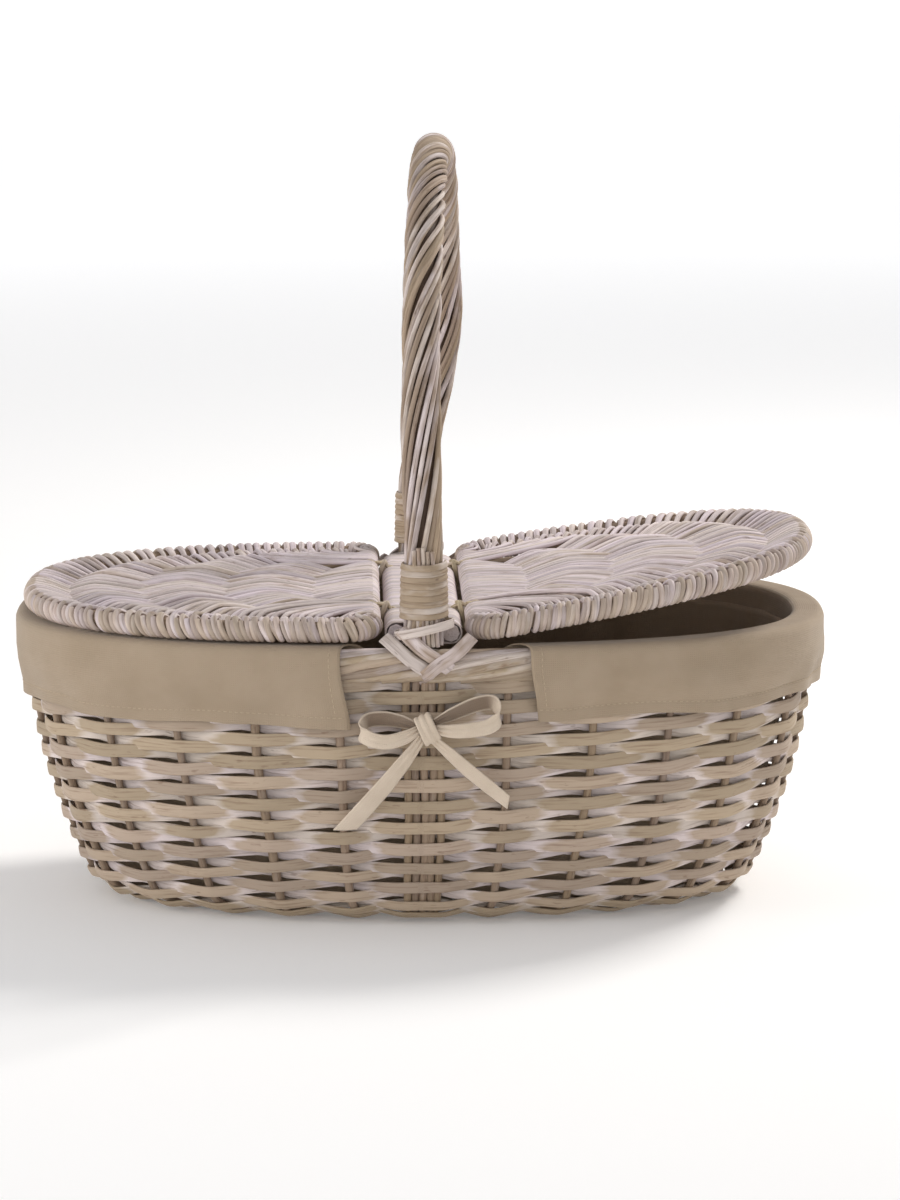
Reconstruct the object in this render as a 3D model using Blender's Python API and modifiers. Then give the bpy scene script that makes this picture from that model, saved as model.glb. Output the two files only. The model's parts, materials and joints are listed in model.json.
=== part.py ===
"""Oval willow picnic basket with a fixed arched handle and two hinged D-shaped lids.

Metres, +Z up. The origin is on the floor under the middle of the basket. X runs along
the basket, -Y is the front, and the handle arches from front to back over the bridge
that both lids hinge on. The left lid (-X) lies closed; the right lid (+X) stands a
little open, as if something soft were folded under it.
"""

import math

import bmesh
import bpy
from mathutils import Vector

# --- driving dimensions -------------------------------------------------------------
GAP = 0.0003                     # clearance between pieces that touch

# the basket's plan is a superellipse, and its wall flares out from the base to the rim
RIM_HALF_LENGTH = 0.212
RIM_HALF_DEPTH = 0.142
PLAN_POWER = 2.4
RIM_TOP = 0.1515
WALL_FLARE = 0.038               # how far the wall leans in from the rim to the foot
FOOT_TURN = 0.022                # further inset where the wall turns under, at the floor
FOOT_HEIGHT = 0.013
WALE_BOTTOM = 0.124
BORDER_BOTTOM = 0.133
WALL_THICKNESS = 0.0075
BORDER_PROUD = 0.0015
BORDER_WIDTH = 0.0135
BASE_THICKNESS = 0.007
FOOT_CLEARANCE = 0.0006           # the foot wale stands this clear of the floor

# fabric liner: a bag inside the basket and two cuffs turned down over the border
CLOTH = 0.0012
LINER_INSET = 0.0146             # the bag hangs clear of the wall and the handle's feet
LINER_TOP = 0.1405
LINER_SAG_ROOM = 0.0043           # between the base and the bag's bottom
CUFF_EASE = 0.0008                # room between the border and the cuff over it
CUFF_DROP = {"left": 0.1115, "right": 0.1148}
CUFF_STANDOFF = 0.004            # the cuff's free edge hangs this clear of the wall
CUFF_CORNER = 0.003              # how sharply the cuff folds over the border
CUFF_EDGE = {"left": -0.045, "right": 0.057}

# the handle: a core rod bent to an arch, with rods twisted round it like a rope
HANDLE_FOOT_Y = 0.1345
HANDLE_FOOT_BOTTOM = WALE_BOTTOM + 0.0008
HANDLE_SPRING = 0.175            # height where the legs begin to curve
HANDLE_TOP = 0.404
HANDLE_POWER = 2.3
HANDLE_TWIST = math.radians(4.0)
HANDLE_SHIFT = 0.0070
TWIST_FROM = 0.190
TWIST_FULL = 0.300
CORE_RADIUS = 0.0043
ROPE_FOOT_RADIUS = 0.0108
ROPE_TOP_RADIUS = 0.0102
ROPE_WALL = 0.0044
ROPE_BOTTOM = RIM_TOP + 0.001
BINDING_BOTTOM = 0.164
BINDING_TOP = 0.197
BINDING_WALL = 0.0018
LASHING_HALF_WIDTH = 0.021
LASHING_BOTTOM = 0.131
LASHING_TOP = 0.1625
LASHING_WALL = 0.003
FOOT_SLOT_DEPTH = 0.030          # the handle's foot is let into the border from inside
FOOT_SLOT_CLEAR = 0.020

# the bridge between the handle's feet, and the lids' hinges beside it
BRIDGE_HALF_LENGTH = 0.1205
BRIDGE_ROD_X = 0.0140
BRIDGE_ROD_Z = 0.1565
BRIDGE_ROD_RADIUS = 0.005
BRIDGE_WEAVE_HALF_WIDTH = 0.0187
BRIDGE_WEAVE_END = 0.002         # the weave stops this short of the rods' ends
BRIDGE_WEAVE_THICKNESS = 0.0022
LOOP_NOTCH_SIDE = 0.001          # room on each side of a hinge loop in the weave
HINGE_X = 0.0275
HINGE_Z = 0.1605
HINGE_LOOP_Y = 0.072
HINGE_LOOP_RADIUS = 0.0015
HINGE_BAR_RADIUS = 0.005

# the lids: a D-shaped hoop closed by a hinge bar, three inner ribs and the woven panel
LID_LENGTH = 0.1772              # hinge axis to the hoop's centre line, at the tip
LID_HALF_DEPTH = 0.1335
LID_POWER = 2.4
LID_CORNER = 0.016
LID_HOOP_RADIUS = 0.0068
HOOP_END_STRAIGHT = 0.003
LID_RIB_RADIUS = 0.0025
LID_RIB_REACH = (0.053, 0.097, 0.144)
LID_RIB_Z = -0.003
LID_PANEL_START = 0.0090
LID_PANEL_BOTTOM = -0.0002
LID_PANEL_TOP = 0.0050
RIGHT_LID_AJAR = math.radians(9.5)

# ribbon bows, front and back: widths and places across the basket and in height
BOW_Y = RIM_HALF_DEPTH + 0.0065
RIBBON_WIDTH = 0.010
RIBBON_THICKNESS = 0.0014
KNOT_SIZE = (0.0115, 0.010, 0.0145)
KNOT_PLACE = (0.0015, 0.112)
LOOP_DEPTH = 0.009
LOOP_OPENING = 0.005             # the two sides of a loop stand this far apart in height
LOOPS = {"left": ((-0.0060, 0.1110), (-0.0325, 0.1095)),
         "right": ((0.0090, 0.1140), (0.0365, 0.1200))}
TAIL_STANDOFF = 0.0035
TAILS = {"left": ((-0.0040, 0.1010), (-0.0220, 0.0810), (-0.0430, 0.0560)),
         "right": ((0.0065, 0.1020), (0.0260, 0.0890), (0.0460, 0.0700))}
TAIL_ACROSS = {"left": (-0.75, 0.65), "right": (0.60, 0.80)}

WILLOW = (0.66, 0.58, 0.48)
WHITENED_WILLOW = (0.72, 0.66, 0.60)
HANDLE_WILLOW = (0.70, 0.64, 0.57)
LINER_COTTON = (0.58, 0.51, 0.39)
RIBBON_COTTON = (0.66, 0.60, 0.48)

PARTS = "picnic_basket"
CUTTERS = "cutters"


# --- small helpers ------------------------------------------------------------------
def clear_scene():
    for obj in list(bpy.data.objects):
        bpy.data.objects.remove(obj, do_unlink=True)
    for name in (PARTS, CUTTERS):
        bpy.context.scene.collection.children.link(bpy.data.collections.new(name))


def finish_material(obj, name, colour, roughness):
    """Give the object its own Principled material."""
    material = bpy.data.materials.new(name)
    material.use_nodes = True
    shader = material.node_tree.nodes["Principled BSDF"]
    shader.inputs["Base Color"].default_value = (*colour, 1.0)
    shader.inputs["Roughness"].default_value = roughness
    shader.inputs["Metallic"].default_value = 0.0
    obj.data.materials.clear()
    obj.data.materials.append(material)


def add_part(name, data, colour, roughness=0.75):
    obj = bpy.data.objects.new(name, data)
    bpy.data.collections[PARTS].objects.link(obj)
    finish_material(obj, name + "_finish", colour, roughness)
    return obj


def signed_power(value, power):
    return math.copysign(abs(value) ** power, value)


def smooth_step(low, high, value):
    t = min(1.0, max(0.0, (value - low) / (high - low)))
    return t * t * (3.0 - 2.0 * t)


def plan_point(angle, offset):
    """A point of the rim's outline, moved outwards by offset."""
    x = (RIM_HALF_LENGTH + offset) * signed_power(math.cos(angle), 2.0 / PLAN_POWER)
    y = (RIM_HALF_DEPTH + offset) * signed_power(math.sin(angle), 2.0 / PLAN_POWER)
    return x, y


def plan_outline(offset, count=48):
    return [plan_point(math.tau * i / count, offset) for i in range(count)]


def wall_offset(z):
    """How far the wall's outer face stands from the rim's outline at height z."""
    inset = WALL_FLARE * (1.0 - z / RIM_TOP) ** 2
    if z < FOOT_HEIGHT:
        fall = (FOOT_HEIGHT - z) / FOOT_HEIGHT
        inset += FOOT_TURN * (1.0 - math.sqrt(1.0 - fall * fall))
    return -inset


def wall_profile(bottom, top, steps, extra=0.0):
    """Offsets and heights of the wall's face between two levels."""
    heights = [bottom + (top - bottom) * i / steps for i in range(steps + 1)]
    return [(wall_offset(z) + extra, z) for z in heights]


def oval_rows(mesh, profile, arc, segments):
    """Rows of points round the plan, one for each offset and height of the profile."""
    start, end = arc or (0.0, math.tau)
    columns = segments + 1 if arc else segments
    angles = [start + (end - start) * i / segments for i in range(columns)]
    return [[mesh.verts.new((*plan_point(a, offset), z)) for a in angles]
            for offset, z in profile]


def join_rows(mesh, rows, segments):
    for lower, upper in zip(rows, rows[1:]):
        for i in range(segments):
            j = (i + 1) % len(lower)
            mesh.faces.new((lower[i], lower[j], upper[j], upper[i]))


def hoop(name, section, colour, roughness=0.75, segments=48):
    """A ring round the plan, from the offsets and heights of its section's corners."""
    mesh = bmesh.new()
    rows = oval_rows(mesh, section, None, segments)
    join_rows(mesh, rows + rows[:1], segments)
    data = bpy.data.meshes.new(name)
    mesh.to_mesh(data)
    mesh.free()
    return add_part(name, data, colour, roughness)


def wall_section(profile, thickness):
    """A wall's section: its outer face going up, then its inner face coming down."""
    return profile + [(offset - thickness, z) for offset, z in reversed(profile)]


def sheet(name, profile, thickness, colour, arc, segments=28, roughness=0.9):
    """A strip along part of the plan, made solid towards the inside."""
    mesh = bmesh.new()
    join_rows(mesh, oval_rows(mesh, profile, arc, segments), segments)
    data = bpy.data.meshes.new(name)
    mesh.to_mesh(data)
    mesh.free()
    obj = add_part(name, data, colour, roughness)
    solid = obj.modifiers.new("thickness", "SOLIDIFY")
    solid.thickness = thickness
    solid.offset = -1.0
    solid.use_even_offset = True
    return obj


def plate(name, outline, bottom, top, colour, roughness=0.75):
    """A flat piece with the given outline, between two heights."""
    data = bpy.data.curves.new(name, "CURVE")
    data.dimensions = "2D"
    data.fill_mode = "BOTH"
    data.extrude = (top - bottom) / 2.0
    spline = data.splines.new("POLY")
    spline.points.add(len(outline) - 1)
    for point, (x, y) in zip(spline.points, outline):
        point.co = (x, y, 0.0, 1.0)
    spline.use_cyclic_u = True
    obj = add_part(name, data, colour, roughness)
    obj.location.z = (bottom + top) / 2.0
    return obj


def rod(name, points, radius, colour, cyclic=False, radii=None, capped=True, sides=2):
    """A round rod along the points; radii scales its radius at each of them."""
    data = bpy.data.curves.new(name, "CURVE")
    data.dimensions = "3D"
    data.bevel_depth = radius
    data.bevel_resolution = sides
    data.use_fill_caps = capped
    spline = data.splines.new("POLY")
    spline.points.add(len(points) - 1)
    for i, (point, place) in enumerate(zip(spline.points, points)):
        point.co = (*place, 1.0)
        point.radius = radii[i] if radii else 1.0
    spline.use_cyclic_u = cyclic
    return add_part(name, data, colour)


def box_mesh(name, low, high):
    mesh = bmesh.new()
    bmesh.ops.create_cube(mesh, size=1.0)
    bmesh.ops.scale(mesh, vec=Vector(high) - Vector(low), verts=mesh.verts)
    bmesh.ops.translate(mesh, vec=(Vector(high) + Vector(low)) / 2.0, verts=mesh.verts)
    data = bpy.data.meshes.new(name)
    mesh.to_mesh(data)
    mesh.free()
    return data


def cut(obj, name, low, high):
    """Take the box from low to high out of the object."""
    cutter = bpy.data.objects.new(name, box_mesh(name, low, high))
    bpy.data.collections[CUTTERS].objects.link(cutter)
    cutter.hide_render = True
    cutter.display_type = "WIRE"
    boolean = obj.modifiers.new(name, "BOOLEAN")
    boolean.operation = "DIFFERENCE"
    boolean.solver = "EXACT"
    boolean.object = cutter


# --- the basket's body --------------------------------------------------------------
def make_base():
    """The woven oval base, and the thick wale of rods round its edge."""
    foot = wall_profile(FOOT_CLEARANCE, FOOT_HEIGHT - GAP, 3)
    edge = foot[0][0] - WALL_THICKNESS - 2 * GAP
    plate("base_panel", plan_outline(edge), 0.0, BASE_THICKNESS, WILLOW)
    hoop("foot_wale", wall_section(foot, WALL_THICKNESS), WILLOW)


def make_wall():
    """The randed wall, the wale that closes it, and the rolled border on top."""
    wall = wall_profile(FOOT_HEIGHT, WALE_BOTTOM - GAP, 5)
    hoop("side_weave", wall_section(wall, WALL_THICKNESS), WILLOW)

    wale = wall_profile(WALE_BOTTOM, BORDER_BOTTOM - GAP, 1)
    inner = BORDER_PROUD - BORDER_WIDTH
    round_off = 0.003
    border = [(BORDER_PROUD, BORDER_BOTTOM), (BORDER_PROUD, RIM_TOP - round_off),
              (BORDER_PROUD - round_off, RIM_TOP), (inner + round_off, RIM_TOP),
              (inner, RIM_TOP - round_off), (inner, BORDER_BOTTOM)]
    rings = (hoop("upper_wale", wall_section(wale, WALL_THICKNESS), WILLOW),
             hoop("rim_border", border, WILLOW))
    # the handle's feet go down inside the wale and the border
    for ring in rings:
        for side, sign in (("front", -1.0), ("back", 1.0)):
            half = CORE_RADIUS + GAP
            near, far = sorted((sign * (HANDLE_FOOT_Y + half),
                                sign * (HANDLE_FOOT_Y - FOOT_SLOT_DEPTH)))
            cut(ring, f"{ring.name}_slot_{side}",
                (-half, near, WALE_BOTTOM - FOOT_SLOT_CLEAR),
                (half, far, RIM_TOP + FOOT_SLOT_CLEAR))


# --- the handle ---------------------------------------------------------------------
def handle_point(angle):
    """The arch's centre line: angle 0 is the front spring, pi the back one."""
    top = HANDLE_TOP - ROPE_TOP_RADIUS
    y = -HANDLE_FOOT_Y * signed_power(math.cos(angle), 2.0 / HANDLE_POWER)
    rise = abs(math.sin(angle)) ** (2.0 / HANDLE_POWER)
    z = HANDLE_SPRING + (top - HANDLE_SPRING) * rise
    return twist_shift(y, z), y, z


def twist_shift(y, z):
    """How far the arch has turned aside from the YZ plane at one of its points."""
    turn = smooth_step(TWIST_FROM, TWIST_FULL, z)
    return turn * (HANDLE_SHIFT + y * math.sin(HANDLE_TWIST))


def leg_reach(z):
    """How far the handle's leg stands from the middle at height z."""
    rise = max(0.0, z - HANDLE_SPRING) / (HANDLE_TOP - ROPE_TOP_RADIUS - HANDLE_SPRING)
    height = rise ** (HANDLE_POWER / 2.0)
    return HANDLE_FOOT_Y * (1.0 - height * height) ** (1.0 / HANDLE_POWER)


def handle_path(bottom, steps=32):
    """Straight legs from the bottom up to the spring, with the arch between them."""
    arch = [handle_point(math.pi * i / steps) for i in range(steps + 1)]
    front = (0.0, -HANDLE_FOOT_Y, bottom)
    back = (0.0, HANDLE_FOOT_Y, bottom)
    return [front, *arch, back]


def rope_radius(z):
    return ROPE_FOOT_RADIUS + (ROPE_TOP_RADIUS - ROPE_FOOT_RADIUS) * smooth_step(
        BINDING_TOP, HANDLE_TOP, z)


def make_handle():
    """The core, the rods roped round it, and the bindings that hold its feet."""
    core = handle_path(HANDLE_FOOT_BOTTOM)
    rod("handle_core", core, CORE_RADIUS, HANDLE_WILLOW)

    rope = handle_path(ROPE_BOTTOM)
    radii = [rope_radius(z) / ROPE_FOOT_RADIUS for _, _, z in rope]
    tube = rod("handle_rope", rope, ROPE_FOOT_RADIUS, HANDLE_WILLOW,
               radii=radii, capped=False)
    solid = tube.modifiers.new("thickness", "SOLIDIFY")
    solid.thickness = ROPE_WALL
    solid.offset = -1.0

    for side, sign in (("front", -1.0), ("back", 1.0)):
        make_binding(side, sign)
        make_lashing(side, sign)


def make_binding(side, sign):
    """A collar of flat skein wound round the rope, just above the border."""
    outer = ROPE_FOOT_RADIUS + GAP * 3 + BINDING_WALL
    leg = []
    for z in (BINDING_BOTTOM, HANDLE_SPRING, BINDING_TOP):
        y = sign * leg_reach(z)
        leg.append((twist_shift(y, z), y, z))
    collar = rod(f"handle_binding_{side}", leg, outer, HANDLE_WILLOW, capped=False, sides=4)
    solid = collar.modifiers.new("thickness", "SOLIDIFY")
    solid.thickness = BINDING_WALL
    solid.offset = -1.0


def make_lashing(side, sign):
    """Flat skeins crossed over the border, in front of the handle's foot."""
    reach = HANDLE_FOOT_Y + ROPE_FOOT_RADIUS + BINDING_WALL + GAP * 4
    near, far = sorted((sign * reach, sign * (reach + LASHING_WALL)))
    outline = [(-LASHING_HALF_WIDTH, near), (LASHING_HALF_WIDTH, near),
               (LASHING_HALF_WIDTH, far), (-LASHING_HALF_WIDTH, far)]
    plate(f"handle_lashing_{side}", outline, LASHING_BOTTOM, LASHING_TOP, HANDLE_WILLOW)


# --- the bridge and its hinge loops -------------------------------------------------
def make_bridge():
    """Two rods from foot to foot of the handle, with a woven strip over them."""
    for side, sign in (("left", -1.0), ("right", 1.0)):
        ends = [(sign * BRIDGE_ROD_X, y, BRIDGE_ROD_Z)
                for y in (-BRIDGE_HALF_LENGTH, BRIDGE_HALF_LENGTH)]
        rod(f"bridge_rod_{side}", ends, BRIDGE_ROD_RADIUS, WHITENED_WILLOW)

    half = BRIDGE_WEAVE_HALF_WIDTH
    length = BRIDGE_HALF_LENGTH - BRIDGE_WEAVE_END
    bottom = BRIDGE_ROD_Z + BRIDGE_ROD_RADIUS + GAP
    top = bottom + BRIDGE_WEAVE_THICKNESS
    strip = add_part("bridge_weave", box_mesh("bridge_weave", (-half, -length, bottom),
                                              (half, length, top)), WHITENED_WILLOW)
    # notches let the hinge loops pass round the rods
    notch_start = BRIDGE_ROD_X - BRIDGE_ROD_RADIUS - 2 * HINGE_LOOP_RADIUS - 2 * GAP
    width = HINGE_LOOP_RADIUS + LOOP_NOTCH_SIDE
    for side, sign in (("left", -1.0), ("right", 1.0)):
        edges = sorted((sign * notch_start, sign * (half + width)))
        for end, y in (("front", -HINGE_LOOP_Y), ("back", HINGE_LOOP_Y)):
            cut(strip, f"notch_{side}_{end}", (edges[0], y - width, bottom - width),
                (edges[1], y + width, top + width))


def make_hinge_loop(side, sign, end, y):
    """A ring of twisted willow round a bridge rod and the lid's hinge bar beside it."""
    inner = Vector((sign * BRIDGE_ROD_X, y, BRIDGE_ROD_Z))
    outer = Vector((sign * HINGE_X, y, HINGE_Z))
    across = (outer - inner).normalized()
    up = Vector((-across.z * sign, 0.0, across.x * sign))
    reach = BRIDGE_ROD_RADIUS + HINGE_LOOP_RADIUS + GAP
    points = []
    for centre, start in ((outer, math.pi / 2), (inner, -math.pi / 2)):
        for i in range(7):
            angle = start - math.pi * i / 6
            points.append(centre + reach * (math.cos(angle) * across + math.sin(angle) * up))
    rod(f"hinge_loop_{side}_{end}", points, HINGE_LOOP_RADIUS, WHITENED_WILLOW,
        cyclic=True, sides=1)


# --- the lids -----------------------------------------------------------------------
def lid_half_depth(x, length, half_depth):
    """Half the depth of a D-shaped hoop at distance x from the hinge axis."""
    y = half_depth * max(0.0, 1.0 - (x / length) ** LID_POWER) ** (1.0 / LID_POWER)
    if x < LID_CORNER:
        turn = (LID_CORNER - x) / LID_CORNER
        y -= LID_CORNER * (1.0 - math.sqrt(max(0.0, 1.0 - turn * turn)))
    return y


def lid_outline(length, half_depth, start=0.0, steps=16):
    """The hoop from the hinge's front end round the tip to its back end."""
    front = []
    for i in range(steps + 1):
        x = start + (length - start) * (0.5 - 0.5 * math.cos(math.pi * i / steps))
        front.append((x, -lid_half_depth(x, length, half_depth)))
    back = [(x, -y) for x, y in reversed(front[:-1])]
    return front + back


def rib_half_depth(reach):
    """Inner ribs are squatter than the hoop, and end close to the hinge's corners."""
    room = LID_HALF_DEPTH - LID_HOOP_RADIUS - LID_RIB_RADIUS - 3 * GAP
    return room * (1.0 - (1.0 - reach / LID_LENGTH) ** 3)


def make_lid(side, sign, ajar):
    """A hoop and hinge bar, three ribs under the panel, all hung on the hinge axis."""
    hinge = bpy.data.objects.new(f"lid_{side}_hinge_axis", None)
    bpy.data.collections[PARTS].objects.link(hinge)
    hinge.location = (sign * HINGE_X, 0.0, HINGE_Z)
    hinge.rotation_euler = (0.0, -sign * ajar, 0.0)

    pieces = []
    outline = lid_outline(LID_LENGTH, LID_HALF_DEPTH)
    end = outline[-1][1] - HOOP_END_STRAIGHT
    outline = [(0.0, -end), *outline, (0.0, end)]
    pieces.append(rod(f"lid_{side}_hoop", [(sign * x, y, 0.0) for x, y in outline],
                      LID_HOOP_RADIUS, WHITENED_WILLOW))
    bar = [(0.0, -end + GAP, 0.0), (0.0, end - GAP, 0.0)]
    pieces.append(rod(f"lid_{side}_hinge_bar", bar,
                      HINGE_BAR_RADIUS, WHITENED_WILLOW))
    for number, reach in enumerate(LID_RIB_REACH, start=1):
        curve = lid_outline(reach, rib_half_depth(reach), LID_PANEL_START, 9)
        pieces.append(rod(f"lid_{side}_rib_{number}",
                          [(sign * x, y, LID_RIB_Z) for x, y in curve],
                          LID_RIB_RADIUS, WHITENED_WILLOW, sides=1))
    inside = LID_HOOP_RADIUS + 9 * GAP
    curve = lid_outline(LID_LENGTH - inside, LID_HALF_DEPTH - inside, LID_PANEL_START, 16)
    pieces.append(plate(f"lid_{side}_weave", [(sign * x, y) for x, y in curve],
                        LID_PANEL_BOTTOM, LID_PANEL_TOP, WHITENED_WILLOW))
    for piece in pieces:
        piece.parent = hinge
    for end, y in (("front", -HINGE_LOOP_Y), ("back", HINGE_LOOP_Y)):
        make_hinge_loop(side, sign, end, y)


# --- the liner and its ribbon bows --------------------------------------------------
def make_liner():
    """A bag that hangs inside the basket, and a cuff over the border at each end."""
    wall = wall_profile(FOOT_HEIGHT, LINER_TOP, 3, -LINER_INSET)
    hoop("liner_wall", wall_section(wall, CLOTH), LINER_COTTON, 0.9)
    edge = wall_offset(FOOT_HEIGHT) - LINER_INSET - CLOTH - GAP
    base = BASE_THICKNESS + LINER_SAG_ROOM
    plate("liner_bottom", plan_outline(edge), base, base + CLOTH, LINER_COTTON, 0.9)

    proud = BORDER_PROUD + CUFF_EASE + CLOTH
    inner = BORDER_PROUD - BORDER_WIDTH - CUFF_EASE - CLOTH
    for side, drop in CUFF_DROP.items():
        profile = [(wall_offset(drop) + CUFF_STANDOFF, drop),
                   (proud, BORDER_BOTTOM - CUFF_CORNER),
                   (proud, RIM_TOP - CUFF_CORNER),
                   (proud - CUFF_CORNER, RIM_TOP + GAP + CLOTH),
                   (inner + CUFF_CORNER, RIM_TOP + GAP + CLOTH),
                   (inner, RIM_TOP - CUFF_CORNER),
                   (inner, LINER_TOP + GAP)]
        edge_angle = math.acos(signed_power(CUFF_EDGE[side] / RIM_HALF_LENGTH,
                                            PLAN_POWER / 2.0))
        arc = (edge_angle, math.tau - edge_angle) if side == "left" else \
              (-edge_angle, edge_angle)
        sheet(f"liner_cuff_{side}", profile, CLOTH, LINER_COTTON, arc)


def make_bow(face, sign):
    """The cuffs' ribbons tied in a bow: a knot, two loops and two tails."""
    x, z = KNOT_PLACE
    bpy.ops.mesh.primitive_uv_sphere_add(segments=12, ring_count=8, radius=0.5,
                                         location=(x, sign * BOW_Y, z))
    take_soft_piece(f"bow_{face}_knot", KNOT_SIZE, 0.0)

    for side, (root, tip) in LOOPS.items():
        middle = ((root[0] + tip[0]) / 2.0, sign * BOW_Y, (root[1] + tip[1]) / 2.0)
        length = math.dist(root, tip)
        lean = math.atan2(tip[1] - root[1], tip[0] - root[0])
        bpy.ops.mesh.primitive_uv_sphere_add(segments=16, ring_count=8, radius=0.5,
                                             location=middle)
        take_soft_piece(f"bow_{face}_loop_{side}",
                        (length, LOOP_DEPTH, RIBBON_WIDTH + LOOP_OPENING), -lean)

    for side, places in TAILS.items():
        make_tail(f"bow_{face}_tail_{side}", places, TAIL_ACROSS[side], sign)


def take_soft_piece(name, size, lean):
    """Name the ball just added, scale its mesh to size and lean it in the XZ plane."""
    obj = bpy.context.active_object
    obj.name = name
    for vertex in obj.data.vertices:
        vertex.co = [c * s for c, s in zip(vertex.co, size)]
    obj.rotation_euler.y = lean
    for collection in list(obj.users_collection):
        collection.objects.unlink(obj)
    bpy.data.collections[PARTS].objects.link(obj)
    finish_material(obj, name + "_finish", RIBBON_COTTON, 0.9)


def make_tail(name, places, across, sign):
    """A flat ribbon end that hangs in front of the wall."""
    mesh = bmesh.new()
    rows = []
    for x, z in places:
        y = sign * (RIM_HALF_DEPTH + wall_offset(z) + TAIL_STANDOFF)
        ends = [(x + way * across[0], y, z + way * across[1])
                for way in (RIBBON_WIDTH / 2.0, -RIBBON_WIDTH / 2.0)]
        rows.append([mesh.verts.new(point) for point in ends])
    for upper, lower in zip(rows, rows[1:]):
        mesh.faces.new((upper[0], upper[1], lower[1], lower[0]))
    data = bpy.data.meshes.new(name)
    mesh.to_mesh(data)
    mesh.free()
    obj = add_part(name, data, RIBBON_COTTON, 0.9)
    solid = obj.modifiers.new("thickness", "SOLIDIFY")
    solid.thickness = RIBBON_THICKNESS
    solid.offset = 0.0


def build():
    clear_scene()
    make_base()
    make_wall()
    make_handle()
    make_bridge()
    make_lid("left", -1.0, 0.0)
    make_lid("right", 1.0, RIGHT_LID_AJAR)
    make_liner()
    make_bow("front", -1.0)
    make_bow("back", 1.0)


build()
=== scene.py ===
"""Looks of an oval willow picnic basket: woven wall, lids, roped handle, cotton liner and bows.

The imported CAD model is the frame. Every willow rod and strip is swept along its own path
through the weave, so the weave is geometry, and cloth pieces are sheets with hems.
"""
import json
import math

import bpy
import numpy as np
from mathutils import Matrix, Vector


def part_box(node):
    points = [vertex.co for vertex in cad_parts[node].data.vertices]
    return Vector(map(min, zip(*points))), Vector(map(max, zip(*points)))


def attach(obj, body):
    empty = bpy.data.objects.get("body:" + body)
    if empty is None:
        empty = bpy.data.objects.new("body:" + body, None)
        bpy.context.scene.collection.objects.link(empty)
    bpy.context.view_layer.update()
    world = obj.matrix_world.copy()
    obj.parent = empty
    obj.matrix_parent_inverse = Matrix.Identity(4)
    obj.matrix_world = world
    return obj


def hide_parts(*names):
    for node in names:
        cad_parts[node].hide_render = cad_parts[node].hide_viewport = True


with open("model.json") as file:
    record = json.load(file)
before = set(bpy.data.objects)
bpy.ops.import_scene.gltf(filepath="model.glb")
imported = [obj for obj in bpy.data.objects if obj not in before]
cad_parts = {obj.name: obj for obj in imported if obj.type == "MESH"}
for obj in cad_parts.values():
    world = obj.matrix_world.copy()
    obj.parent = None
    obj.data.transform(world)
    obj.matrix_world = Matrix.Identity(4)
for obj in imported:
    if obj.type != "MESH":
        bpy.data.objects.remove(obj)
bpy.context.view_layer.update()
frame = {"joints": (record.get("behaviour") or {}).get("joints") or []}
random = np.random.default_rng(11)
TAU = 2.0 * math.pi

# --- places taken from the frame ----------------------------------------------------
border_low, border_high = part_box("rim_border")
rope_low, rope_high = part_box("handle_rope")
binding_low, binding_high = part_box("handle_binding_front")
bar_low, bar_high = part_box("lid_left_hinge_bar")
hoop_low, hoop_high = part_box("lid_left_hoop")
rod_low, rod_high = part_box("bridge_rod_left")
loop_low, loop_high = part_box("hinge_loop_right_back")
WALL_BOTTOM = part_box("side_weave")[0].z
WALE_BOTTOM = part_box("upper_wale")[0].z
BRIDGE_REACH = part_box("bridge_weave")[1].y

BORDER_PROUD = 0.0015            # how far the border stands out past the wall's own plan
RIM_X = border_high.x - BORDER_PROUD
RIM_Y = border_high.y - BORDER_PROUD
RIM_TOP = border_high.z
BORDER_BOTTOM = border_low.z
PLAN_POWER = 2.4
WALL_FLARE = 0.038
FOOT_TURN = 0.022
FOOT_HEIGHT = WALL_BOTTOM
WALL_MIDDLE = 0.0038             # from the wall's outer face to the middle of its stakes
BASE_REACH = 0.074               # how far in under the base the weave is made


def signed_power(value, power):
    return np.sign(value) * np.abs(value) ** power


def smooth_step(low, high, value):
    t = np.clip((value - low) / (high - low), 0.0, 1.0)
    return t * t * (3.0 - 2.0 * t)


def unit(v):
    return v / np.maximum(np.linalg.norm(v, axis=-1, keepdims=True), 1e-12)


def distance_along(path):
    """The distance along a path from its start to each of its points."""
    steps = np.linalg.norm(np.diff(path, axis=0), axis=1)
    return np.concatenate([[0.0], np.cumsum(steps)])


def sample(path, run, at):
    """Points on a path, where run gives the distance at each of the path's own points."""
    return np.stack([np.interp(at, run, path[:, i]) for i in range(path.shape[1])], -1)


def upright(line):
    """Plan points given a height of zero."""
    return np.concatenate([line, np.zeros((len(line), 1))], axis=1)


# --- the basket's surface: plan s (in stakes) and distance u along the wall's section ---
STAKES = 26
HANDLE_STAKES = (0, STAKES // 2)          # the stake counts from the front's middle


def plan_table():
    """The plan's angle as a function of arc length, counted in stakes from the front."""
    angle = np.linspace(-math.pi / 2, 1.5 * math.pi, 4001)
    x = RIM_X * signed_power(np.cos(angle), 2.0 / PLAN_POWER)
    y = RIM_Y * signed_power(np.sin(angle), 2.0 / PLAN_POWER)
    length = distance_along(np.stack([x, y], -1))
    return length / length[-1] * STAKES, angle, length[-1]


PLAN_S, PLAN_ANGLE, RIM_LENGTH = plan_table()
STAKE_SPACING = RIM_LENGTH / STAKES


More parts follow.
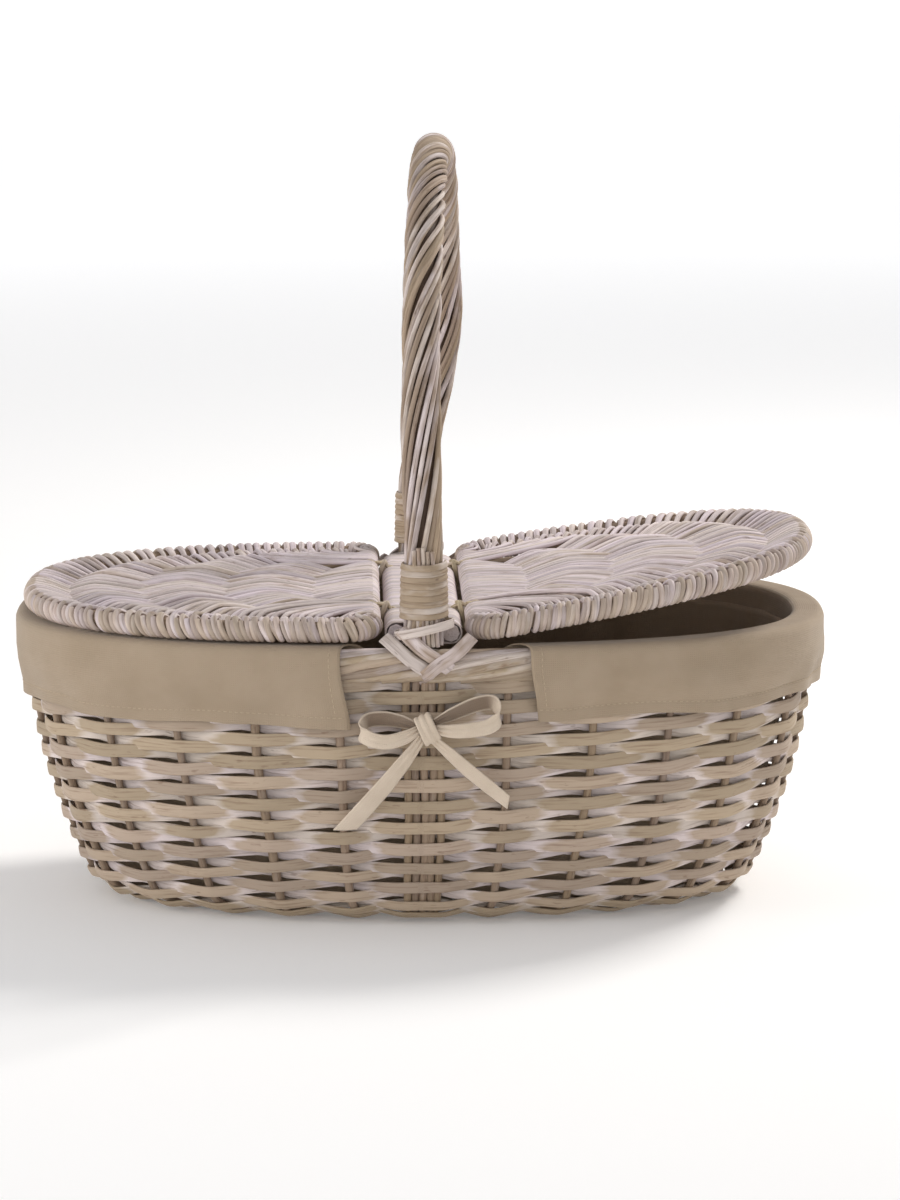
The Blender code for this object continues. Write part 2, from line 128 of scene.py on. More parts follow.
def plan(s, offset):
    """Plan points and outward normals at stake positions s, moved out by offset."""
    angle = np.interp(np.mod(s, STAKES), PLAN_S, PLAN_ANGLE)
    a, b = RIM_X + offset, RIM_Y + offset
    x = a * signed_power(np.cos(angle), 2.0 / PLAN_POWER)
    y = b * signed_power(np.sin(angle), 2.0 / PLAN_POWER)
    nx = signed_power(x / a, PLAN_POWER - 1.0) / a
    ny = signed_power(y / b, PLAN_POWER - 1.0) / b
    size = np.hypot(nx, ny)
    return x, y, nx / size, ny / size


def wall_offset(z):
    inset = WALL_FLARE * (1.0 - z / RIM_TOP) ** 2
    fall = np.clip((FOOT_HEIGHT - z) / FOOT_HEIGHT, 0.0, 1.0)
    return -(inset + FOOT_TURN * (1.0 - np.sqrt(1.0 - fall * fall)))


def section_table():
    """The wall's section from under the base up to the rim: distance, offset, height."""
    foot = FOOT_HEIGHT * np.linspace(0.0, 1.0, 60) ** 2
    z = np.concatenate([foot, np.linspace(FOOT_HEIGHT, RIM_TOP, 200)[1:]])
    offset = wall_offset(z)
    base = offset[0] - np.linspace(BASE_REACH + 0.004, 0.0, 80)[:-1]
    offset = np.concatenate([base, offset])
    z = np.concatenate([np.zeros_like(base), z])
    length = distance_along(np.stack([offset, z], -1))
    where_base_ends = np.interp(0.0001, z, length)
    return length - where_base_ends, offset, z


SECTION_U, SECTION_OFFSET, SECTION_Z = section_table()


def surface(s, u, out):
    """Points and outward normals of the basket's skin at s and u, moved out along them."""
    offset = np.interp(u, SECTION_U, SECTION_OFFSET)
    z = np.interp(u, SECTION_U, SECTION_Z)

    def slope(values, step=0.002):
        return np.interp(u + step, SECTION_U, values) - np.interp(u - step, SECTION_U, values)

    run, rise = slope(SECTION_OFFSET), slope(SECTION_Z)
    size = np.hypot(run, rise) + 1e-9
    level, down = rise / size, run / size
    x, y, nx, ny = plan(s, offset)
    normal = np.stack([nx * level, ny * level, -down], axis=-1)
    point = np.stack([x, y, z], axis=-1)
    return point + normal * np.asarray(out)[..., None], normal


# --- sweeping rods and strips into one mesh ------------------------------------------
ROUND_TURN = np.arange(8) / 8 * TAU
ROUND = np.stack([np.cos(ROUND_TURN), np.sin(ROUND_TURN)], axis=1) / 2.0
FLAT = np.array([(-0.5, 0.0), (-0.46, 0.34), (-0.25, 0.5), (0.25, 0.5), (0.46, 0.34),
                 (0.5, 0.0), (0.46, -0.34), (0.25, -0.5), (-0.25, -0.5), (-0.46, -0.34)])


class Strands:
    """Collects swept strands, then makes one mesh of them with grain attributes."""

    def __init__(self):
        self.points, self.faces, self.grain, self.wear_and_shade = [], [], [], []
        self.count = 0

    def add(self, path, outward, width, thick, section=ROUND, recess=0.0, closed=False):
        """Sweeps a section along a path; recess says how much white wash has stayed on it, and on
        some parts it also carries painted light and shade.
        """
        path = np.asarray(path, dtype=float)
        count = len(path)
        outward = np.broadcast_to(np.asarray(outward, dtype=float), path.shape)
        if closed:
            tangent = unit(np.roll(path, -1, 0) - np.roll(path, 1, 0))
        else:
            tangent = unit(np.gradient(path, axis=0))
        side = unit(np.cross(tangent, outward))
        out = np.cross(side, tangent)
        width = np.broadcast_to(width, (count,))[:, None, None]
        thick = np.broadcast_to(thick, (count,))[:, None, None]
        ring = (path[:, None, :] + side[:, None, :] * section[None, :, :1] * width
                + out[:, None, :] * section[None, :, 1:] * thick)
        sides = len(section)
        self.points.append(ring.reshape(-1, 3))
        along = distance_along(path)
        seed = random.random()
        across = section[:, 0][None, :] * width[:, 0, :]
        depth = section[:, 1][None, :] * thick[:, 0, :]
        grain = np.stack([np.broadcast_to(along[:, None], (count, sides)) + seed * 37.0,
                          np.broadcast_to(across, (count, sides)),
                          np.broadcast_to(depth, (count, sides)) + seed], axis=-1)
        self.grain.append(grain.reshape(-1, 3))
        recess = np.asarray(recess, dtype=float)
        if recess.ndim < 2:
            recess = np.broadcast_to(recess, (count,))[:, None]
        wear_and_shade = np.zeros((count, sides, 4))
        wear_and_shade[..., 0] = seed
        wear_and_shade[..., 1] = recess
        wear_and_shade[..., 2] = random.random()
        wear_and_shade[..., 3] = 1.0
        self.wear_and_shade.append(wear_and_shade.reshape(-1, 4))
        rows = count if closed else count - 1
        i = np.arange(rows)[:, None]
        j = np.arange(sides)[None, :]
        here, there = i * sides, ((i + 1) % count) * sides
        k = (j + 1) % sides
        quads = np.stack([here + j, here + k, there + k, there + j], axis=-1)
        self.faces.extend((quads.reshape(-1, 4) + self.count).tolist())
        if not closed:
            self.faces.append([self.count + n for n in reversed(range(sides))])
            last = self.count + (count - 1) * sides
            self.faces.append([last + n for n in range(sides)])
        self.count += count * sides

    def build(self, name, material, body, replaces=()):
        mesh = bpy.data.meshes.new(name)
        points = np.concatenate(self.points)
        mesh.from_pydata(points.tolist(), [], self.faces)
        mesh.attributes.new("grain", "FLOAT_VECTOR", "POINT").data.foreach_set(
            "vector", np.concatenate(self.grain).ravel())
        mesh.attributes.new("wear_and_shade", "FLOAT_COLOR", "POINT").data.foreach_set(
            "color", np.concatenate(self.wear_and_shade).ravel())
        mesh.update()
        mesh.shade_smooth()
        mesh.set_sharp_from_angle(angle=math.radians(50))
        return place(name, mesh, material, body, replaces)


def place(name, mesh, material, body, replaces=()):
    obj = bpy.data.objects.new(name, mesh)
    bpy.context.scene.collection.objects.link(obj)
    mesh.materials.append(material)
    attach(obj, body)
    if replaces:
        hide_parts(*replaces)
    return obj


# --- materials ------------------------------------------------------------------------
class Nodes:
    """Short calls for building one material's nodes."""

    def __init__(self, name, roughness, sheen=0.0):
        self.material = bpy.data.materials.new(name)
        self.material.use_nodes = True
        self.tree = self.material.node_tree
        self.shader = self.tree.nodes["Principled BSDF"]
        self.shader.inputs["Specular IOR Level"].default_value = 0.3
        self.shader.inputs["Roughness"].default_value = roughness
        self.shader.inputs["Sheen Weight"].default_value = sheen

    def node(self, kind, **inputs):
        node = self.tree.nodes.new(kind)
        for name, value in inputs.items():
            self.feed(node.inputs[name.replace("_", " ")], value)
        return node

    def feed(self, socket, value):
        if isinstance(value, bpy.types.NodeSocket):
            self.tree.links.new(value, socket)
        else:
            socket.default_value = value

    def attribute(self, name, output="Vector"):
        node = self.tree.nodes.new("ShaderNodeAttribute")
        node.attribute_name = name
        return node.outputs[output]

    def scaled(self, vector, scale):
        node = self.node("ShaderNodeMapping", Vector=vector, Scale=scale)
        return node.outputs["Vector"]

    def noise(self, vector, scale, detail=3.0, rough=0.55):
        node = self.node("ShaderNodeTexNoise", Vector=vector, Scale=scale, Detail=detail,
                         Roughness=rough)
        return node.outputs["Fac"]

    def between(self, value, low, high, to_low=0.0, to_high=1.0):
        node = self.node("ShaderNodeMapRange")
        for socket, number in zip(node.inputs[:5], (value, low, high, to_low, to_high)):
            self.feed(socket, number)
        return node.outputs["Result"]

    def math(self, operation, a, b=0.0):
        node = self.tree.nodes.new("ShaderNodeMath")
        node.operation = operation
        self.feed(node.inputs[0], a)
        self.feed(node.inputs[1], b)
        return node.outputs[0]

    def mix(self, factor, a, b, blend="MIX"):
        node = self.tree.nodes.new("ShaderNodeMix")
        node.data_type = "RGBA"
        node.blend_type = blend
        self.feed(node.inputs[0], factor)
        self.feed(node.inputs[6], a)
        self.feed(node.inputs[7], b)
        return node.outputs[2]

    def split(self, colour):
        return self.node("ShaderNodeSeparateColor", Color=colour).outputs

    def bump(self, height, strength, distance, normal=None):
        node = self.node("ShaderNodeBump", Height=height, Strength=strength,
                         Distance=distance)
        if normal is not None:
            self.feed(node.inputs["Normal"], normal)
        return node.outputs["Normal"]

    def finish(self, colour, roughness=None, normal=None):
        self.feed(self.shader.inputs["Base Color"], colour)
        if roughness is not None:
            self.feed(self.shader.inputs["Roughness"], roughness)
        if normal is not None:
            self.feed(self.shader.inputs["Normal"], normal)
        return self.material


def rgb(r, g, b):
    """A colour given as it looks on a screen, 0 to 255, made linear for the shader."""
    return tuple(((c / 255.0 + 0.055) / 1.055) ** 2.4 for c in (r, g, b)) + (1.0,)


def willow(name, bare, washed, dark, wash=0.5):
    """Peeled willow under thin white wash: bare where it is rubbed, washed in the recesses; on some
    parts the bare and washed colours also stand for painted light and shade.
    """
    n = Nodes(name, 0.62)
    seed, recess, other = n.split(n.attribute("wear_and_shade", "Color"))[:3]
    grain = n.attribute("grain")
    streaks = n.noise(n.scaled(grain, (45.0, 900.0, 900.0)), 1.0, 4.0)
    blotches = n.noise(n.scaled(grain, (60.0, 160.0, 160.0)), 1.0, 2.0)
    washing = n.math("ADD", n.between(recess, 0.0, 1.0, wash - 0.45, wash + 0.45),
                     n.between(blotches, 0.35, 0.65, -0.22, 0.22))
    colour = n.mix(n.between(washing, 0.3, 0.75), bare, washed)
    colour = n.mix(n.between(streaks, 0.52, 0.72, 0.0, 0.55), colour, dark)
    tone = n.between(seed, 0.0, 1.0, 0.80, 1.12)
    tint = n.node("ShaderNodeCombineColor", Red=tone, Green=tone,
                  Blue=n.math("MULTIPLY", tone, n.between(other, 0.0, 1.0, 0.90, 1.03)))
    colour = n.mix(1.0, colour, tint.outputs["Color"], "MULTIPLY")
    marks = n.noise(n.scaled(grain, (120.0, 400.0, 400.0)), 1.0, 2.0)
    colour = n.mix(n.between(marks, 0.66, 0.74, 0.0, 0.5), colour, dark)
    height = n.math("ADD", streaks, n.math("MULTIPLY", blotches, 0.7))
    return n.finish(colour, n.between(streaks, 0.3, 0.7, 0.55, 0.75),
                    n.bump(height, 0.35, 0.0006))


def cotton(name, light, shade, inside, thread=0.0011):
    """Plain-woven cotton: two crossed sets of threads, with slubs and soft creases."""
    n = Nodes(name, 0.9, sheen=0.15)
    cloth = n.attribute("grain")
    waves = []
    for axis in ("X", "Y"):
        wave = n.node("ShaderNodeTexWave", Vector=cloth, Scale=TAU / thread / 20.0,
                      Distortion=0.6, Detail=1.0)
        wave.bands_direction = axis
        waves.append(wave.outputs["Fac"])
    weave = n.math("MULTIPLY", waves[0], waves[1])
    slubs = n.noise(n.scaled(cloth, (300.0, 2600.0, 1.0)), 1.0, 2.0)
    soft = n.noise(n.scaled(cloth, (28.0, 28.0, 1.0)), 1.0, 3.0)
    colour = n.mix(n.between(soft, 0.3, 0.7), shade, light)
    colour = n.mix(n.between(slubs, 0.55, 0.75, 0.0, 0.35), colour, shade)
    colour = n.mix(n.between(weave, 0.0, 0.6, 0.25, 0.0), colour, shade)
    # painted shade: the grain's third value darkens the cloth towards the colour inside, for the
    # shaded insides of folds
    colour = n.mix(n.split(cloth)[2], colour, inside)
    height = n.math("ADD", weave, n.math("MULTIPLY", slubs, 0.6))
    fine = n.bump(height, 0.35, 0.0004)
    return n.finish(colour, None, n.bump(soft, 0.25, 0.004, fine))


def plain(name, colour, roughness=0.8):
    n = Nodes(name, roughness)
    cloudy = n.noise(n.node("ShaderNodeTexCoord").outputs["Object"], 6.0)
    return n.finish(n.mix(n.between(cloudy, 0.3, 0.7), colour,
                          tuple(0.97 * c for c in colour[:3]) + (1.0,)))


WALL_WILLOW = willow("wall_willow", rgb(178, 159, 140), rgb(210, 197, 193),
                     rgb(122, 96, 78), 0.47)
STAKE_WILLOW = willow("stake_willow", rgb(148, 128, 110), rgb(172, 156, 148),
                      rgb(100, 76, 60), 0.35)
SHADED_WILLOW = willow("shaded_willow", rgb(84, 66, 53), rgb(108, 90, 78),
                       rgb(52, 38, 29), 0.25)
LID_WILLOW = willow("lid_willow", rgb(186, 169, 158), rgb(219, 206, 208),
                    rgb(134, 111, 97), 0.74)
HANDLE_WILLOW = willow("handle_willow", rgb(166, 146, 128), rgb(208, 195, 192),
                       rgb(98, 74, 58), 0.55)
TIE_WILLOW = willow("tie_willow", rgb(204, 188, 166), rgb(216, 203, 192),
                    rgb(146, 124, 96), 0.45)
# each cotton's third colour is painted shade, laid on the insides of folds
LINER_COTTON = cotton("liner_cotton", rgb(170, 152, 131), rgb(157, 139, 117), rgb(120, 102, 82))
RIBBON_COTTON = cotton("ribbon_cotton", rgb(222, 206, 187), rgb(200, 183, 163), rgb(104, 84, 67))
THREAD = plain("thread", rgb(182, 164, 140))


# --- the woven wall -------------------------------------------------------------------
ROW_PITCH = 0.00595
STRIP_THICK = 0.0014
BASE_EDGE = -0.002               # where the base's weave stops and the foot's starts
STRIP_WIDTH = 0.0069
LOW_ROW_THINNING = 0.16          # the lowest rows are woven with narrower strips
STAKE_WIDTH = 0.0044
HANDLE_CLUSTER = 0.26            # half the handle's cluster of uprights, in stakes
WEAVE_SWING = 0.0029             # how far a strip bends out and in round the stakes
FLOAT_RISE = 0.0016
SHINGLE_TILT = math.radians(9.0)
SAMPLES_PER_STAKE = 12


def weave_phase(s):
    """Stake position with the handle's broad clusters counted as one stake each."""
    phase = np.array(s, dtype=float)
    for centre in (*HANDLE_STAKES, STAKES):
        away = s - centre
        inside = np.abs(away) < 1.0
        reach = np.maximum(0.0, np.abs(away) - HANDLE_CLUSTER) / (1.0 - HANDLE_CLUSTER)
        phase = np.where(inside, centre + np.sign(away) * reach, phase)
    return phase


def wander(s, size, waves=5):
    """A smooth, uneven drift round the basket."""
    total = np.zeros_like(s)
    for _ in range(waves):
        turns = random.integers(3, 24)
        total += np.sin(TAU * turns * s / STAKES + random.random() * TAU)
    return total * size / math.sqrt(waves)


def strip_row(strands, u, parity, width):
    """One strip all round, in front of one stake and behind the next."""
    s = np.arange(STAKES * SAMPLES_PER_STAKE) / SAMPLES_PER_STAKE
    phase = weave_phase(s)
    wave = np.arcsin(0.965 * np.cos(math.pi * phase)) / math.asin(0.965) * parity
    # each float climbs a little, and drops back where it is hidden behind a stake
    crest = 2.0 * np.round((phase - (0.0 if parity > 0 else 1.0)) / 2.0)
    climb = phase - crest - (0.0 if parity > 0 else 1.0)
    climb = climb - smooth_step(0.8, 1.0, climb) + smooth_step(0.8, 1.0, -climb)
    row = u + FLOAT_RISE * climb + wander(s, 0.0004)
    path, normal = surface(s, row, -WALL_MIDDLE + WEAVE_SWING * wave)
    upper, _ = surface(s, row + 0.003, -WALL_MIDDLE + WEAVE_SWING * wave)
    up = unit(upper - path)
    tilt = SHINGLE_TILT + random.normal() * 0.03
    facing = unit(normal * math.cos(tilt) + up * math.sin(tilt))
    # the white wash has stayed wherever the strip is not rubbed: a pointed spindle is bare
    edge = np.abs(2.0 * FLAT[None, :, 0])
    recess = smooth_step(0.30, -0.60, wave[:, None] - 0.5 * edge ** 1.5 + 0.15 * random.normal())
    widths = width + wander(s, 0.00025)
    strands.add(path, facing, widths, STRIP_THICK, FLAT, recess, closed=True)


def weave_rows(name, low, high, replaced, first):
    """Rows of strips between two distances along the wall's section; tells how many."""
    strands = Strands()
    count = max(1, round((high - low) / ROW_PITCH))
    pitch = (high - low) / count
    for row in range(count):
        u = low + (row + 0.5) * pitch
        parity = 1.0 if (first + row) % 2 == 0 else -1.0
        low_down = 1.0 - LOW_ROW_THINNING * float(smooth_step(0.070, 0.035, u))
        strip_row(strands, u, parity, STRIP_WIDTH * low_down * (1.0 + 0.03 * random.normal()))
    strands.build(name, WALL_WILLOW, "basket", [replaced])
    return count


def section_distance(z):
    outside = SECTION_U >= 0.0
    return float(np.interp(z, SECTION_Z[outside], SECTION_U[outside]))


def make_wall():
    foot_top = section_distance(FOOT_HEIGHT)
    wall_top = section_distance(WALE_BOTTOM)
    wale_top = section_distance(BORDER_BOTTOM)
    rows = weave_rows("base_weave", -BASE_REACH, BASE_EDGE, "base_panel", 0)
    rows += weave_rows("foot_weave", BASE_EDGE, foot_top, "foot_wale", rows)
    rows += weave_rows("wall_strips", foot_top, wall_top, "side_weave", rows)
    weave_rows("upper_strips", wall_top, wale_top + 0.002, "upper_wale", rows)

    stakes = Strands()
    for stake in range(STAKES):
        spread = (-0.2, -0.1, 0.0, 0.1, 0.2) if stake in HANDLE_STAKES else (0.0,)
        for shift in spread:
            make_stake(stakes, stake + shift + 0.02 * random.normal() * (shift == 0.0))
    stakes.build("wall_stakes", STAKE_WILLOW, "basket")


def make_stake(stakes, s):
    """An upright, from inside the base out to the foot and up to the border."""
    u = np.linspace(-BASE_REACH, section_distance(BORDER_BOTTOM + 0.006), 60)
    place_s = np.full_like(u, s) + 0.015 * np.sin(u * 60.0 + random.random() * TAU)
    path, normal = surface(place_s, u, np.full_like(u, -WALL_MIDDLE))
    width = STAKE_WIDTH * (1.0 + 0.05 * random.normal())
    stakes.add(path, normal, width, width * 0.92, ROUND, 0.35)


# --- the rolled border ----------------------------------------------------------------
BORDER_ROD = 0.0054
BORDER_RODS_PER_STAKE = 2
BORDER_RUN = 5.2                 # how many stakes one rod runs past
BORDER_HALF_WIDTH = 0.00675
ROLL_START = math.radians(-70.0)
ROLL = math.radians(300.0)


def make_border():
    """Stake ends bent down: each rod rises inside, rolls over the top and runs outside."""
    strands = Strands()
    middle = (border_low + border_high) / 2.0
    half_height = (RIM_TOP - BORDER_BOTTOM) / 2.0 - BORDER_ROD / 2.0
    half_width = BORDER_HALF_WIDTH - BORDER_ROD / 2.0
    centre = BORDER_PROUD - BORDER_HALF_WIDTH
    for rod in range(STAKES * BORDER_RODS_PER_STAKE):
        start = rod / BORDER_RODS_PER_STAKE + 0.05 * random.normal()
        t = np.linspace(0.0, 1.0, 64)
        turn = ROLL_START + ROLL * t
        s = start + BORDER_RUN * t
        offset = centre + half_width * signed_power(np.cos(turn), 0.8)
        z = middle.z + half_height * signed_power(np.sin(turn), 0.8)
        x, y, nx, ny = plan(s, offset)
        facing = np.stack([nx * np.cos(turn), ny * np.cos(turn), np.sin(turn)], axis=-1)
        width = BORDER_ROD * (1.0 - 0.25 * t) * (1.0 + 0.05 * random.normal())
        # painted light and shade: the rods are washed paler towards the top of their roll and left
        # barer and darker underneath, as if lit from above; the rest is the wash's own amount
        strands.add(np.stack([x, y, z], -1), facing, width, width, ROUND,
                    0.35 + 0.3 * np.sin(turn) + 0.2 * random.normal())
    strands.build("border_rods", WALL_WILLOW, "basket", ["rim_border"])


# --- the handle -----------------------------------------------------------------------
HANDLE_FOOT_Y = (binding_low.y + binding_high.y) / -2.0
HANDLE_POWER = 2.3
HANDLE_SPRING = 0.175            # the height where the arch springs from its upright legs
HANDLE_TWIST = math.radians(4.0)  # the arch is turned a little on its legs, and shifted
HANDLE_SHIFT = 0.0070
TWIST_FROM = 0.190
TWIST_FULL = 0.300
ROPE_RODS = 15
ROPE_ROD = 0.0029
ROPE_FOOT = 0.0106               # the rope's radius at its feet and at the top
ROPE_TOP = 0.0102
ROPE_TURN = (24.0, 52.0)         # the rods' turn in radians a metre at the feet, and more above


def handle_line(count=260):
    """The arch's centre line from the front foot to the back one."""
    top = rope_high.z - ROPE_TOP
    t = np.linspace(0.0, math.pi, 4000)
    y = -HANDLE_FOOT_Y * signed_power(np.cos(t), 2.0 / HANDLE_POWER)
    z = HANDLE_SPRING + (top - HANDLE_SPRING) * np.sin(t) ** (2.0 / HANDLE_POWER)
    leg = np.linspace(rope_low.z + 0.0005, HANDLE_SPRING, 60)[:-1]
    y = np.concatenate([np.full_like(leg, y[0]), y, np.full_like(leg, y[-1])])
    z = np.concatenate([leg, z, leg[::-1]])
    turn = smooth_step(TWIST_FROM, TWIST_FULL, z)
    x = turn * (HANDLE_SHIFT + y * math.sin(HANDLE_TWIST))
    path = np.stack([x, y, z], axis=-1)
    length = distance_along(path)
    even = np.linspace(0.0, length[-1], count)
    return sample(path, length, even), even


def wave_along(length, turns):
    """A smooth wave of random place along a rod, from -1 to 1."""
    start = random.random() * TAU
    return np.sin(length * turns * (0.7 + 0.6 * random.random()) + start)


def ring_frame(path):
    """Two directions square to a path that runs in the upright plane along the basket."""
    tangent = unit(np.gradient(path, axis=0))
    across = unit(np.array([1.0, 0.0, 0.0]) - tangent * tangent[:, :1])
    return across, np.cross(tangent, across)


def make_handle():
    line, length = handle_line()
    across, outward = ring_frame(line)
    up = smooth_step(binding_high.z, rope_high.z, line[:, 2])
    radius = ROPE_FOOT + (ROPE_TOP - ROPE_FOOT) * up
    rate = ROPE_TURN[0] + ROPE_TURN[1] * up * up
    twist = np.concatenate([[0.0], np.cumsum(np.diff(length) * (rate[1:] + rate[:-1]) / 2.0)])
    strands = Strands()
    for rod in range(ROPE_RODS):
        drift = 0.3 * wave_along(length, 9.0)
        turn = twist + TAU / ROPE_RODS * (rod + drift + 0.10 * random.normal())
        size = ROPE_ROD * (1.0 + 0.12 * random.normal()) * (1.0 - 0.06 * up)
        sunk = 0.0005 * (1.0 + wave_along(length, 14.0))
        reach = radius - size / 2.0 - sunk
        facing = across * np.cos(turn)[:, None] + outward * np.sin(turn)[:, None]
        strands.add(line + facing * reach[:, None], facing, size * 0.98, size, ROUND,
                    0.30 + 0.35 * wave_along(length, 25.0))
    strands.build("handle_rods", HANDLE_WILLOW, "basket", ["handle_rope"])

    core = Strands()
    core_width = 2.0 * (radius - ROPE_ROD) - 0.001
    core.add(line, across, core_width, core_width)
    core.build("handle_core_rod", SHADED_WILLOW, "basket", ["handle_core"])
    for side, sign in (("front", -1.0), ("back", 1.0)):
        make_binding(side, sign)
        make_lashing(side, sign)


COLLAR_TURNS = 9
COLLAR_RADIUS = 0.0117
RIDGE_PLACE = math.radians(14.0)  # the rods under the skein make a ridge beside the middle
RIDGE_RISE = 0.0014
CUT_ENDS = 5
CUT_END_PITCH = 0.0023


def make_binding(side, sign):
    """Flat skein wound round the foot, over the cut ends of rods that lie on its face."""
    low, high = binding_low.z + 0.0012, binding_high.z
    t = np.linspace(0.0, 1.0, COLLAR_TURNS * 40)
    angle = TAU * COLLAR_TURNS * t
    ridge = sign * math.pi / 2.0 + RIDGE_PLACE
    away = np.arctan2(np.sin(angle - ridge), np.cos(angle - ridge))
    radius = COLLAR_RADIUS - 0.0006 * t + RIDGE_RISE * np.exp(-np.abs(away) / 0.28)
    path = np.stack([radius * np.cos(angle), sign * HANDLE_FOOT_Y + radius * np.sin(angle),
                     low + 0.0018 + (high - low - 0.004) * t + 0.0005 * np.sin(angle)], -1)
    facing = np.stack([np.cos(angle), np.sin(angle), 0.25 * np.ones_like(angle)], -1)
    skein = Strands()
    skein.add(path, facing, 0.0034, 0.0015, FLAT, 0.15 + 0.25 * np.sin(angle * 0.7))
    skein.build(f"binding_{side}", HANDLE_WILLOW, "basket",
                [f"handle_binding_{side}"])

    ends = Strands()
    for place_across in np.arange(CUT_ENDS) - CUT_ENDS // 2:
        shift = place_across * CUT_END_PITCH
        top = high + 0.006 + 0.0028 * random.random() - abs(place_across) * 0.0012
        z = np.linspace(low - 0.012, top, 10)
        lean = (z - low) * -0.06
        y = sign * (HANDLE_FOOT_Y + 0.0092 + 0.0018 * smooth_step(high - 0.004, high + 0.004, z))
        rod = np.stack([0.0015 + shift + lean, y, z], -1)
        ends.add(rod, (0.0, sign, 0.0), 0.0022, 0.0020, ROUND, 0.4)
    ends.build(f"binding_{side}_rod_ends", HANDLE_WILLOW, "basket")


# each skein's upper and lower end, across the basket and in height; later ones lie on top
LASHING_WIDTH = 0.0070
LASHING_SKEINS = (((-0.0205, 0.1575), (0.0050, 0.1375)), ((-0.0120, 0.1610), (0.0165, 0.1385)),
                  ((0.0245, 0.1575), (-0.0035, 0.1355)))


def make_lashing(side, sign):
    """Flat skeins crossed over the border, with their ends tucked in between its rods."""
    skeins = Strands()
    for layer, (start, finish) in enumerate(LASHING_SKEINS):
        t = np.linspace(0.0, 1.0, 60)
        x, z = [a + (b - a) * t for a, b in zip(start, finish)]
        # from under the bridge's end, over the border's edge, down its face and in again
        over = RIM_Y + BORDER_PROUD + 0.0012 + 0.0011 * layer
        out = over - 0.010 * (1.0 - smooth_step(-0.2, 0.30, t)) - 0.009 * smooth_step(0.80, 1.0, t)
        z = z + 0.0004 * np.sin(t * 9.0 + layer)
        path = np.stack([x, sign * out, z], -1)
        normal = np.stack([0.0 * t, np.full_like(t, sign),
                           0.55 * (1.0 - smooth_step(0.0, 0.40, t)) - 0.05], -1)
        skeins.add(path, normal, LASHING_WIDTH, 0.0010, FLAT, 0.75 - 0.2 * layer)
    # a slanting turn that ties the handle's foot to the bridge
    angle = np.linspace(0.0, TAU, 48, endpoint=False)
    ring = np.stack([0.0148 * np.cos(angle), sign * HANDLE_FOOT_Y + 0.0128 * np.sin(angle),
                     0.1610 + 0.0035 * np.cos(angle + 0.3)], -1)
    facing = np.stack([np.cos(angle), np.sin(angle), 0.0 * angle], -1)
    skeins.add(ring, facing, 0.0048, 0.0011, FLAT, 0.8, closed=True)
    skeins.build(f"lashing_{side}", HANDLE_WILLOW, "basket",
                 [f"handle_lashing_{side}"])


# --- the bridge and the hinge loops -----------------------------------------------------
BRIDGE_ROD_X = -(rod_low.x + rod_high.x) / 2.0
BRIDGE_Z = (rod_low.z + rod_high.z) / 2.0
HINGE_X = -(bar_low.x + bar_high.x) / 2.0
HINGE_Z = (bar_low.z + bar_high.z) / 2.0
LOOP_Y = (loop_low.y + loop_high.y) / 2.0
WRAP_PITCH = 0.0037
WRAP_RADIUS = 0.0054
TIE_NOTCH = 0.0032               # half the gap in the wraps that a hinge tie lies in
TIE_RADIUS = 0.0041
TIE_STRAND = 0.0018
TIE_TURNS = 7.0
WAIST_RADIUS = 0.0068


def stadium(half_gap, radius, count=22):
    """A loop round two rods side by side, across the bridge, and its outward normals."""
    corner = np.linspace(-math.pi / 2, math.pi / 2, count)
    side = np.linspace(half_gap, -half_gap, count)[1:-1]
    right = np.stack([half_gap + radius * np.cos(corner), radius * np.sin(corner)], -1)
    top = np.stack([side, np.full_like(side, radius)], -1)
    up = np.tile([0.0, 1.0], (len(side), 1))
    round_right = np.stack([np.cos(corner), np.sin(corner)], -1)
    return (np.concatenate([right, top, -right, -top]),
            np.concatenate([round_right, up, -round_right, -up]))


def make_bridge():
    """Two rods wrapped side by side with flat skein, with gaps for the hinge loops."""
    outline, facing = stadium(BRIDGE_ROD_X, WRAP_RADIUS)
    wraps = Strands()
    half = BRIDGE_REACH - 0.002
    for y in np.arange(-half, half, WRAP_PITCH):
        if abs(abs(y) - LOOP_Y) < TIE_NOTCH:
            continue
        path = np.stack([outline[:, 0], np.full(len(outline), y), BRIDGE_Z + outline[:, 1]], -1)
        path[:, 1] += 0.0004 * np.sin(outline[:, 0] * 90.0 + random.random() * TAU)
        normal = np.stack([facing[:, 0], np.zeros(len(outline)), facing[:, 1]], -1)
        wraps.add(path, normal, 0.0041, 0.0011, FLAT, 0.9, closed=True)
    wraps.build("bridge_wraps", LID_WILLOW, "basket", ["bridge_weave"])
    for side, sign in (("left", -1.0), ("right", 1.0)):
        core = Strands()
        y = np.linspace(rod_low.y, rod_high.y, 24)
        path = np.stack([np.full_like(y, sign * BRIDGE_ROD_X), y, np.full_like(y, BRIDGE_Z)], -1)
        core.add(path, (0.0, 0.0, 1.0), 0.009, 0.009, ROUND, 0.6)
        core.build(f"bridge_core_{side}", LID_WILLOW, "basket",
                   [f"bridge_rod_{side}"])
        for end, y in (("front", -LOOP_Y), ("back", LOOP_Y)):
            make_hinge_loop(side, sign, end, y)


